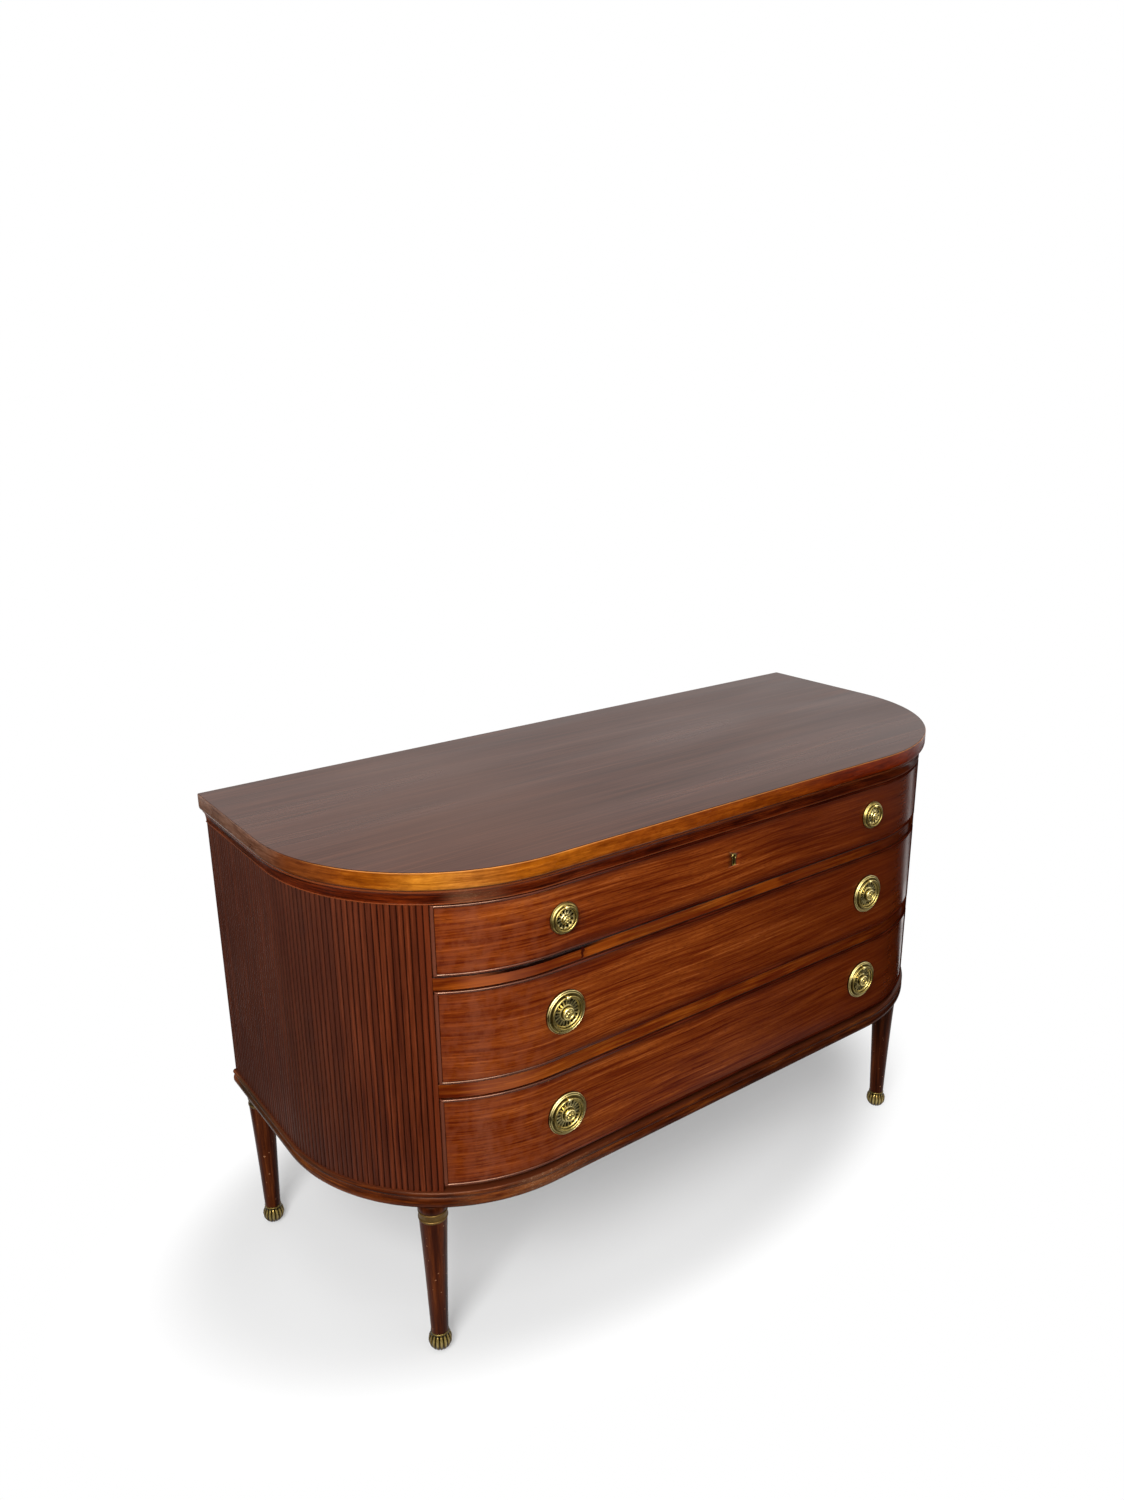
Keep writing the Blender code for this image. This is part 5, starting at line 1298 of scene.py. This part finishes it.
def cove_section():
    """Closed section of the moulding: flat back, a short fillet with eased arrises, a shallow hollow
    whose inset grows with the sine as its height falls with the cosine, and a small fillet below."""
    low, high = MOULDING_LOW.z, MOULDING_HIGH.z
    foot, cove_top = low + FOOT_FILLET, high - FILLET_HEIGHT
    face, deep, ease = MOULDING_SETBACK, MOULDING_SETBACK + COVE_DEPTH, FILLET_EASE
    turn = np.linspace(0.12, 1, 12) * np.pi / 2
    return [
        (MOULDING_BACK, low),
        (MOULDING_BACK, high),
        (face + ease, high),
        (face, high - ease),
        (face, cove_top + ease),
        (face + ease, cove_top),
        *zip(face + COVE_DEPTH * np.sin(turn), foot + (cove_top - foot) * np.cos(turn)),
        (deep - 0.0007, foot - 0.0001),
        (deep - 0.0009, foot - 0.0005),
        (deep - 0.0009, low + 0.0003),
        (deep - 0.0006, low),
        (MOULDING_BACK, low),
    ]


TOP_MOULDING_MAHOGANY = dark_mahogany(
    "shaded_moulding_mahogany",
    {
        "figure": ((0.38, "#2E0B03"), (0.46, "#4C1806"), (0.54, "#682609"), (0.62, "#80360F")),
        "drift": "#C8B098",
        "pore": "#160603",
        "pore_depth": 0.5,
    },
    green="#3A2A20",
    glint_colour="#8E6A4C",
    shade=0.25,
)
make_piece(
    "cove_moulding",
    closed_strip(*carried(cove_section())),
    TOP_MOULDING_MAHOGANY,
    "carcase",
    replaces=["top_moulding"],
    sharp=40,
)


# Top. A wide mahogany board with straight grain along its length, French polished to a soft
# mirror that age has greyed, and edged with a paler lipping.
TOP_LOW, TOP_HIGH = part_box("top_board")
LIPPING_WIDTH = 0.0075
VENEER_EDGE = 0.0008
VENEER_THICKNESS = 0.0007
SEAM = 0.00015


def bloom(tree, place, colour):
    """A grey-brown bloom in soft patches, and a dark line round the edge of the board."""
    patch = add(tree, "TexNoise", {"Vector": place, "Scale": 2.2, "Detail": 2.0})
    height = add(tree, "SeparateXYZ", [place]).outputs["Z"]
    edge = (height, TOP_HIGH.z - 0.0001, TOP_HIGH.z - 0.0002)
    return stained(tree, colour, ("#5C3E30", (patch, 0.4, 0.65, 0.0, 0.35)), ("#2A0C05", edge))


# Fine straight grain under old polish that has greyed, with a soft, even gloss.
TOP_MAHOGANY = polished_wood(
    "bloomed_top_mahogany",
    {
        "sway": (2.5, 5, 1),
        "sway_reach": (0, 0.006, 0),
        "drift": (1.5, 9, 1),
        "band": (2.2, 34, 1),
        "streak": (3, 120, 1),
        "line": (6, 420, 1),
        "pore": (70, 1000, 1),
        "weights": (0.14, 0.32, 0.54),
    },
    {
        "figure": ((0.36, "#3A221A"), (0.46, "#462A20"), (0.54, "#4E3026"), (0.64, "#5C3A2C")),
        "drift": "#E8E0DA",
        "pore": "#2E150F",
        "pore_depth": 0.25,
    },
    (0.26, 0.34),
    gloss=0.16,
    extra=bloom,
)
TOP_SECTION = [
    (LIPPING_WIDTH + SEAM, TOP_LOW.z),
    (LIPPING_WIDTH + SEAM, TOP_HIGH.z - VENEER_THICKNESS),
    (VENEER_EDGE, TOP_HIGH.z - VENEER_THICKNESS),
    (VENEER_EDGE, TOP_HIGH.z - 0.0002),
    (VENEER_EDGE + 0.0003, TOP_HIGH.z),
]
make_piece(
    "polished_top",
    closed_board(*carried(TOP_SECTION)),
    TOP_MAHOGANY,
    "carcase",
    replaces=["top_board"],
)


# Lipping. A band of paler figured mahogany bent round the top's edge, flush above, with a full
# round arris and rounded under; at the left front its orange is painted up to a golden highlight.
LIPPING_ARRIS = 0.0007
LIPPING_LENGTH = 1.75
ROUND_HEIGHT = 0.0075
ROUND_DEPTH = 0.0042
# How the colour changes round the edge, from the back left corner to the back right one: greyed
# brown, partly a painted reflection; red-brown; golden at the left front, a painted highlight over
# orange wood; orange; and red at the right.
LIPPING_TONE_AND_SHEEN = (
    (0.00, "#8E7062"),
    (0.14, "#846150"),
    (0.175, "#7C4620"),
    (0.24, "#98540E"),
    (0.28, "#CE882A"),
    (0.31, "#D4903C"),
    (0.35, "#BE7018"),
    (0.45, "#A45513"),
    (0.60, "#984808"),
    (0.70, "#8C3002"),
)


def along_edge(tree, place, colour):
    """Mottled cross bands, coloured in turn round the edge, with a painted highlight on the arris from
    the left front on, and painted shade on the rounded underside.
    """
    along = add(tree, "SeparateXYZ", [place]).outputs["X"]
    height = add(tree, "SeparateXYZ", [add(tree, "TexCoord").outputs["Object"]]).outputs["Z"]
    mottle = add(tree, "Mapping", {"Vector": place, "Scale": (55, 90, 1)})
    mottle = add(tree, "TexNoise", {"Vector": mottle, "Scale": 1.0, "Detail": 3.0})
    share = add(tree, "Math", [along, LIPPING_LENGTH], operation="DIVIDE")
    # The tone round the edge carries a painted reflection at the back and a painted highlight at the left
    # front.
    stain = add(tree, "ValToRGB", [share], stops=LIPPING_TONE_AND_SHEEN)
    bands = ("#A08070", (mottle, 0.4, 0.7, 0.0, 0.35))
    colour = stained(tree, colour, bands, (stain, 1.0), blend_type="MULTIPLY")
    # arris: painted highlight; under: painted shade on the rounded underside.
    arris = (height, LIPPING_BOX[1].z - 0.0022, LIPPING_BOX[1].z - 0.0012, 0.0, 0.5)
    under = (height, LIPPING_BOX[0].z + 0.0034, LIPPING_BOX[0].z + 0.0018, 0.0, 0.75)
    return stained(tree, colour, ("#D8904C", arris, (along, 0.30, 0.42)), ("#2A0C03", under))


# Figured wood under clear polish, with fine grain; its own ramp is pale, and the stain colours it.
LIPPING_WOOD = polished_wood(
    "figured_lipping_polish",
    {
        "sway": (8, 40, 1),
        "sway_reach": (0, 0.005, 0),
        "drift": (9, 30, 1),
        "band": (12, 110, 1),
        "streak": (22, 330, 1),
        "line": (40, 800, 1),
        "pore": (150, 1500, 1),
        "weights": (0.40, 0.35, 0.25),
    },
    {
        "figure": ((0.38, "#B09C8C"), (0.46, "#D0C2B4"), (0.53, "#E4D8CC"), (0.62, "#FFFFFF")),
        "drift": "#F0E4D8",
        "pore": "#8A6850",
        "pore_depth": 0.35,
    },
    (0.20, 0.30),
    gloss=0.12,
    coordinate="uv",
    extra=along_edge,
)


def lipping_section():
    """Closed section of the lipping: inner face, the seat of the top's veneer, round arris, slightly
    full face, and a long quarter-round under."""
    low, high = LIPPING_BOX[0].z, LIPPING_BOX[1].z - VENEER_THICKNESS - SEAM
    arris, under = np.linspace(0, np.pi / 2, 7), np.linspace(0, np.pi / 2, 10)
    return [
        (LIPPING_WIDTH, low),
        (LIPPING_WIDTH, high),
        *zip(LIPPING_ARRIS * (1 - np.sin(arris)), high - LIPPING_ARRIS * (1 - np.cos(arris))),
        (0.0, low + ROUND_HEIGHT + 0.004),
        (0.0, low + ROUND_HEIGHT + 0.001),
        *zip(ROUND_DEPTH * (1 - np.cos(under)), low + ROUND_HEIGHT * (1 - np.sin(under))),
        (LIPPING_WIDTH, low),
    ]


make_piece(
    "figured_lipping",
    closed_strip(*carried(lipping_section())),
    LIPPING_WOOD,
    "carcase",
    replaces=["top_edge_lipping"],
    sharp=40,
)


# Ring pulls. Each is a stamped brass rose with a stepped rim, a sunk ring groove, a bright lip and
# a dish sunk with a wheel of shallow slots round a boss, painted black as the shade of piercings. A
# stud runs from it through the front to a nut.
PULL_BACK_Y = FRONT_Y + FRONT_SETBACK - PIECE_GAP
# Columns of a slot's sector, from -1 to 1: the slot's edges are at a half. The section is a list of
# shares of the radius and heights, from the rim to the boss.
SECTOR = (-1.0, -0.78, -0.62, -0.55, -0.50, -0.44, -0.25, 0.0, 0.25, 0.44, 0.50, 0.55, 0.62, 0.78, 1.0)
PULL_RELIEF = {
    "large": {
        "radius": 0.0312,
        "wire": 0.0017,
        "slots": 20,
        "petals": 8,
        "slot_share": (0.335, 0.632),
        "section": (
            (1.000, 0.0), (0.998, 0.0018), (0.988, 0.0030), (0.974, 0.0034), (0.960, 0.0029),
            (0.950, 0.0022), (0.938, 0.0030), (0.922, 0.0042), (0.902, 0.0047), (0.880, 0.0046),
            (0.862, 0.0038), (0.846, 0.0026), (0.828, 0.0022), (0.740, 0.0022), (0.705, 0.0024),
            (0.690, 0.0034), (0.674, 0.0044), (0.656, 0.0046), (0.644, 0.0040), (0.632, 0.0036),
            (0.600, 0.0035), (0.560, 0.0033), (0.520, 0.0031), (0.470, 0.0030), (0.420, 0.0030),
            (0.370, 0.0032), (0.340, 0.0036), (0.310, 0.0042), (0.290, 0.0044), (0.284, 0.0064),
            (0.282, 0.0082), (0.274, 0.0096), (0.254, 0.0101), (0.230, 0.0097), (0.212, 0.0088),
            (0.190, 0.0085), (0.150, 0.0088), (0.110, 0.0087), (0.080, 0.0086), (0.066, 0.0094),
            (0.045, 0.0101), (0.020, 0.0102), (0.000, 0.0102),
        ),
    },
    "small": {
        "radius": 0.0223,
        "wire": 0.0015,
        "slots": 12,
        "petals": 6,
        "slot_share": (0.29, 0.600),
        "section": (
            (1.000, 0.0), (0.997, 0.0016), (0.980, 0.0024), (0.966, 0.0020), (0.950, 0.0030),
            (0.920, 0.0042), (0.890, 0.0048), (0.855, 0.0050), (0.825, 0.0048), (0.805, 0.0044),
            (0.790, 0.0040), (0.720, 0.0038), (0.690, 0.0036), (0.678, 0.0030), (0.664, 0.0030),
            (0.642, 0.0044), (0.622, 0.0050), (0.606, 0.0040), (0.560, 0.0034), (0.500, 0.0029),
            (0.430, 0.0029), (0.360, 0.0033), (0.310, 0.0040), (0.288, 0.0048), (0.278, 0.0066),
            (0.264, 0.0080), (0.238, 0.0088), (0.205, 0.0088), (0.150, 0.0092), (0.110, 0.0088),
            (0.085, 0.0090), (0.060, 0.0099), (0.030, 0.0102), (0.000, 0.0102),
        ),
    },
}
# A slot's half width as a share of its sector: at its ends, what it adds inside, and its growth.
SLOT_HALF_WIDTH = (0.04, 0.34, 0.32)
SLOT_ENDS = (0.15, 0.12)
SLOT_DEPTH = 0.0024
BAR_CROWN = 0.0006
BOSS_RING = (0.075, 0.20)
BOSS_PETAL = 0.0005
RING_SHARE = 0.745
RING_GAP = math.radians(12)
PIVOT_HEIGHT = 0.0064
LUG_RADIUS = 0.0026
LUG_HALF_WIDTH = 0.0021
PIN_RADIUS = 0.0010
PIN_END = 0.0007
ARC_STEPS = 241
TWIST_TURNS = 46
TWIST_DEPTH = 0.00016
STUD_RADIUS = 0.0022
NUT_RADIUS = 0.0050
NUT_HEIGHT = 0.0028
NUT_CHAMFER = 0.0005
STUD_START = 0.003


def around_y(radius, height, angle, origin):
    """Points at a radius and an angle round a line toward the front, at a height out from origin."""
    x, z = origin[0] + radius * np.sin(angle), origin[2] + radius * np.cos(angle)
    return np.stack(np.broadcast_arrays(x, origin[1] - height, z), -1)


def smooth_steps(section):
    """Adds two points in each step of a section, on its straight lines, so that relief has room."""
    section = np.asarray(section, float)
    share = np.linspace(0, len(section) - 1, (len(section) - 1) * 3 + 1)
    return np.stack([np.interp(share, np.arange(len(section)), section[:, i]) for i in (0, 1)], -1)


def pull_rose(relief, origin):
    """The rose over the radius and the angle round it. Its height is the turned section, less the
    slots, which widen outward and close round at both ends, plus petals raised on the boss as
    cosines; the grid's columns bend so that they follow each slot's edges."""
    radius, slots = relief["radius"], relief["slots"]
    section = smooth_steps(relief["section"])
    share, height = section[:, :1], section[:, 1:]
    low, high = relief["slot_share"]
    place = np.clip((share - low) / (high - low), 0, 1)
    closing = np.clip(place / SLOT_ENDS[0], 0, 1) * np.clip((1 - place) / SLOT_ENDS[1], 0, 1)
    least, start, growth = SLOT_HALF_WIDTH
    half_width = least + (start + growth * place) * np.sqrt(closing)
    sector = np.array(SECTOR)
    scaled = np.where(
        np.abs(sector) <= 0.5,
        sector / 0.5 * half_width,
        np.sign(sector) * (half_width + (np.abs(sector) - 0.5) / 0.5 * (1 - half_width)),
    )
    starts = np.arange(slots) * 2 * np.pi / slots
    angle = (starts[:, None] + (scaled[:, None, :-1] + 1) / 2 * 2 * np.pi / slots).reshape(len(share), -1)
    angle = np.hstack([angle, angle[:, :1] + 2 * np.pi])
    pierced = np.where(np.abs(sector) < 0.46, 1.0, 0.0)[:-1]
    pierced = np.hstack([np.tile(pierced, slots), pierced[:1]])
    open_here = ((place > 0.02) & (place < 0.98)).astype(float)
    bars = BAR_CROWN * np.sin(np.pi * place) * (1 - pierced)
    boss = np.clip((BOSS_RING[1] - share) / 0.02, 0, 1) * np.clip((share - BOSS_RING[0]) / 0.02, 0, 1)
    petals = BOSS_PETAL * boss * np.cos(angle * relief["petals"])
    height = np.maximum(height - pierced * open_here * SLOT_DEPTH + bars + petals, 0)
    points = around_y(radius * share, height, angle, origin)
    points[:, -1] = points[:, 0]
    return [(points, None), (points[0, :-1], None)]


def rose_wear_and_shade(relief, origin):
    """The rose is painted black in its slots, as the shade of piercings, and rubbed on the bars
    between them. Elsewhere it is sunk where it lies below its section's average over a short reach,
    which blackens the grooves with old polish and paints shade at the foot of the rim, and rubbed
    where it is above."""
    share, height = np.asarray(relief["section"][1:], float)[::-1].T
    even = np.linspace(0, 1, 401)
    line = np.interp(even, share, height)
    average = np.convolve(np.pad(line, 12, mode="edge"), np.full(25, 1 / 25), "valid")
    low, high = relief["slot_share"]

    def measure(x, y, z):
        reach = np.hypot(x - origin[0], z - origin[2]) / relief["radius"]
        stand = origin[1] - y
        wheel = (reach > low) * (reach < high)
        # Slots are marked fully sunk: painted shade.
        pierced = (np.interp(reach, even, line) - stand > 0.0010) * wheel
        below = np.interp(reach, even, average) - stand
        relief_wear_and_shade = np.where(below < 0, below / 0.0010, below / 0.0018)
        return np.clip(np.where(wheel, 1.9 * pierced - 0.9, relief_wear_and_shade), -1, 1)

    return measure


def stud_and_nut(origin, nut_end_y):
    """A round stud behind the rose, and a six-sided nut whose radius is its flat's distance over the
    cosine of the angle from the flat's middle, held within a round by its chamfer."""
    angle = np.linspace(0, 2 * np.pi, 49)
    flat = NUT_RADIUS * math.cos(math.pi / 6)
    hexagon = flat / np.cos((angle + np.pi / 6) % (np.pi / 3) - np.pi / 6)
    end = origin[1] - nut_end_y
    start = end + NUT_HEIGHT
    chamfered = np.minimum(hexagon, flat * 1.02)
    rows = (
        (0, STUD_START),
        (STUD_RADIUS, STUD_START),
        (STUD_RADIUS, start),
        (chamfered, start),
        (hexagon, start - NUT_CHAMFER),
        (hexagon, end + NUT_CHAMFER),
        (chamfered, end),
        (STUD_RADIUS * 1.1, end),
        (STUD_RADIUS, end + 0.0003),
        (STUD_RADIUS * 0.8, end),
        (0, end),
    )
    points = np.stack([around_y(radius, height, angle, origin) for radius, height in rows])
    points[:, -1] = points[:, 0]
    return [(points, None)]


def closed_tube(points):
    """A tube of rings, shut by a face at each end."""
    return [(points, None), (points[0, :-1], None), (points[-1, :-1], None)]


def pull_lug(pivot):
    """The ear that takes the ring's pins: an upright half-round section drawn across, eased at ends."""
    turn = np.linspace(0, np.pi, 13)
    out = np.concatenate([[-PIVOT_HEIGHT + 0.0008], LUG_RADIUS * np.sin(turn), [-PIVOT_HEIGHT + 0.0008]])
    up = np.concatenate([[LUG_RADIUS], LUG_RADIUS * np.cos(turn), [-LUG_RADIUS]])
    out, up = np.append(out, out[0]), np.append(up, up[0])
    x = np.array([-1, -0.85, 0.85, 1])[:, None] * LUG_HALF_WIDTH
    eased = np.array([0.86, 1, 1, 0.86])[:, None]
    points = np.stack(np.broadcast_arrays(pivot[0] + x, pivot[1] - out * eased, pivot[2] + up * eased), -1)
    return closed_tube(points)


def pull_ring(relief, pivot):
    """A bent wire: a round section carried along pin, arc and pin in one upright plane. Its radius
    is the wire's, thinned to the pins, and twisted like a rope over the lower half."""
    bend, wire = relief["radius"] * RING_SHARE, relief["wire"]
    turn = np.linspace(RING_GAP, 2 * np.pi - RING_GAP, ARC_STEPS)
    arc_x, arc_z = bend * np.sin(turn), bend * (np.cos(turn) - math.cos(RING_GAP))
    shoulder = LUG_HALF_WIDTH + PIN_RADIUS
    pin_x = np.array([PIN_END, shoulder, shoulder + ARRIS])
    pin_thick = np.array([PIN_RADIUS, PIN_RADIUS, wire * 0.9])
    x = np.concatenate([pin_x, arc_x, -pin_x[::-1]])
    z = np.concatenate([[0, 0, 0], arc_z, [0, 0, 0]])
    thick = np.concatenate([pin_thick, np.full(ARC_STEPS, wire), pin_thick[::-1]])
    round_wire = np.linspace(0, 2 * np.pi, 17)
    ahead = np.stack([np.gradient(x), np.gradient(z)], -1)
    ahead /= np.linalg.norm(ahead, axis=1, keepdims=True)
    lower = np.clip(-arc_z / bend - 0.8, 0, 1)
    twist = np.zeros((len(x), len(round_wire)))
    twist[3:-3] = lower[:, None] * np.cos(turn[:, None] * TWIST_TURNS + round_wire * 2)
    radius = thick[:, None] + TWIST_DEPTH * twist
    side = radius * np.cos(round_wire)
    wire_x, wire_z = x[:, None] - ahead[:, 1:] * side, z[:, None] + ahead[:, :1] * side
    wire_y = radius * np.sin(round_wire)
    points = np.stack([pivot[0] + wire_x, pivot[1] + wire_y, pivot[2] + wire_z], -1)
    points[:, -1] = points[:, 0]
    return closed_tube(points)


for drawer, size in (("bottom", "large"), ("middle", "large"), ("top", "small")):
    relief = PULL_RELIEF[size]
    for word in ("left", "right"):
        plate_node = f"{drawer}_pull_plate_{word}"
        low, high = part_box(plate_node)
        origin = ((low.x + high.x) / 2, PULL_BACK_Y, low.z + relief["radius"])
        rise = relief["radius"] * RING_SHARE * math.cos(RING_GAP)
        pivot = (origin[0], PULL_BACK_Y - PIVOT_HEIGHT, origin[2] + rise)
        rose = make_piece(
            f"{drawer}_pull_rose_{word}",
            [*pull_rose(relief, origin), *pull_lug(pivot), *stud_and_nut(origin, high.y)],
            AGED_BRASS,
            "drawer_" + drawer,
            replaces=[plate_node],
            sharp=50,
        )
        mark(rose, "sunk", rose_wear_and_shade(relief, origin))
        make_piece(
            f"{drawer}_pull_bail_{word}",
            pull_ring(relief, pivot),
            AGED_BRASS,
            f"{drawer}_ring_{word}",
            replaces=[f"{drawer}_pull_ring_{word}"],
            sharp=50,
        )


# Keyhole. A thin brass thread, cast to a round head over a flaring skirt, is let into the top
# drawer's front, and the key's way runs through the veneer and the core behind it.
KEYHOLE_LOW, KEYHOLE_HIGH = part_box("keyhole_escutcheon")
KEYHOLE_RIM = 0.0012
KEYHOLE_SKIRT = 0.0066
KEYHOLE_NECK = 0.28
KEY_WAY_REACH = (-0.30, -0.20)


def keyhole_line(shrink):
    """Outline of the keyhole drawn in by shrink, as x and z: three quarters of a round head, then
    straight flanks to the skirt's foot."""
    width = KEYHOLE_HIGH.x - KEYHOLE_LOW.x
    radius = width / 2 - shrink
    head_z = KEYHOLE_HIGH.z - width / 2
    turn = np.linspace(-np.pi * KEYHOLE_NECK, np.pi * (1 + KEYHOLE_NECK), 33)
    skirt, foot_z = KEYHOLE_SKIRT / 2 - shrink, KEYHOLE_LOW.z + shrink
    share = np.linspace(0, 1, 12)[1:, None]
    ends = radius * np.array([[np.cos(turn[-1]), np.sin(turn[-1])], [np.cos(turn[0]), np.sin(turn[0])]])
    ends[:, 1] += head_z
    feet = np.array([[-skirt, foot_z], [skirt, foot_z]])
    head = np.stack([radius * np.cos(turn), head_z + radius * np.sin(turn)], -1)
    down = ends[0] + (feet[0] - ends[0]) * share
    across = feet[0] + (feet[1] - feet[0]) * share
    up = feet[1] + (ends[1] - feet[1]) * share
    return np.vstack([head, down, across, up])


def at_depth(outline, y):
    """An outline of x and z, set upright at a depth."""
    return np.stack([outline[:, 0], np.full(len(outline), y), outline[:, 1]], -1)


def keyhole_thread():
    """A rounded rim between the outer and the inner outline: height = stand * root(1 - c * c), where
    c runs from -1 outside to 1 inside, closed by a flat back."""
    face_y = FRONT_Y + FRONT_SETBACK - FACING_PROUD
    across = np.linspace(-1, 1, 9)
    stand = (face_y - KEYHOLE_LOW.y) * np.sqrt(1 - across**2)
    rows = [*zip(KEYHOLE_RIM * (across + 1) / 2, face_y - stand)]
    rows = [(0, KEYHOLE_HIGH.y), *rows, (KEYHOLE_RIM, KEYHOLE_HIGH.y), (0, KEYHOLE_HIGH.y)]
    return [(np.stack([at_depth(keyhole_line(shrink), y) for shrink, y in rows]), None)]


make_piece(
    "keyhole_thread",
    keyhole_thread(),
    AGED_BRASS,
    "drawer_top",
    replaces=["keyhole_escutcheon"],
    sharp=50,
)
key_way = keyhole_line(KEYHOLE_RIM * 0.5)[:-1]
key_walls = np.stack([at_depth(key_way, y) for y in KEY_WAY_REACH])
key_walls = np.concatenate([key_walls, key_walls[:, :1]], 1)
cutter = make_piece(
    "key_way_cutter",
    closed_tube(key_walls),
    FRONT_MAHOGANY,
    "drawer_top",
)
top_veneer = bpy.data.objects["top_drawer_veneer"]
key_cut = top_veneer.modifiers.new("key_way", "BOOLEAN")
key_cut.object = cutter
key_cut.operation = "DIFFERENCE"
key_cut.solver = "EXACT"
cut_mesh = bpy.data.meshes.new_from_object(top_veneer.evaluated_get(bpy.context.evaluated_depsgraph_get()))
top_veneer.modifiers.clear()
top_veneer.data = cut_mesh
bpy.data.objects.remove(cutter)


# Lock. An iron case is let into the back of the top drawer's front, and its brass bolt rises into
# the top frame.
def lock_iron():
    """Forged and filed iron, gone brown-black, with rust specks."""
    material, tree = new_finish("dark_lock_iron")
    place = add(tree, "TexCoord").outputs["Object"]
    filed = add(tree, "Mapping", {"Vector": place, "Scale": (60, 60, 900)})
    filed = add(tree, "TexNoise", {"Vector": filed, "Scale": 1.0, "Detail": 3.0})
    rust = add(tree, "TexNoise", {"Vector": place, "Scale": 160.0, "Detail": 4.0})
    colour = add(tree, "ValToRGB", [filed], stops=((0.35, "#3A3632"), (0.65, "#57514A")))
    surface = {
        "Base Color": stained(tree, colour, ("#5A3420", (rust, 0.52, 0.66, 0.0, 0.8))),
        "Metallic": 0.9,
        "Roughness": add(tree, "MapRange", [rust, 0.4, 0.7, 0.42, 0.75]),
        "Normal": add(tree, "Bump", {"Height": filed, "Strength": 0.2, "Distance": 0.0003}),
    }
    add(tree, "OutputMaterial", [add(tree, "BsdfPrincipled", surface)])
    return material


refinish("lock_case", lock_iron())
refinish("lock_bolt", AGED_BRASS)
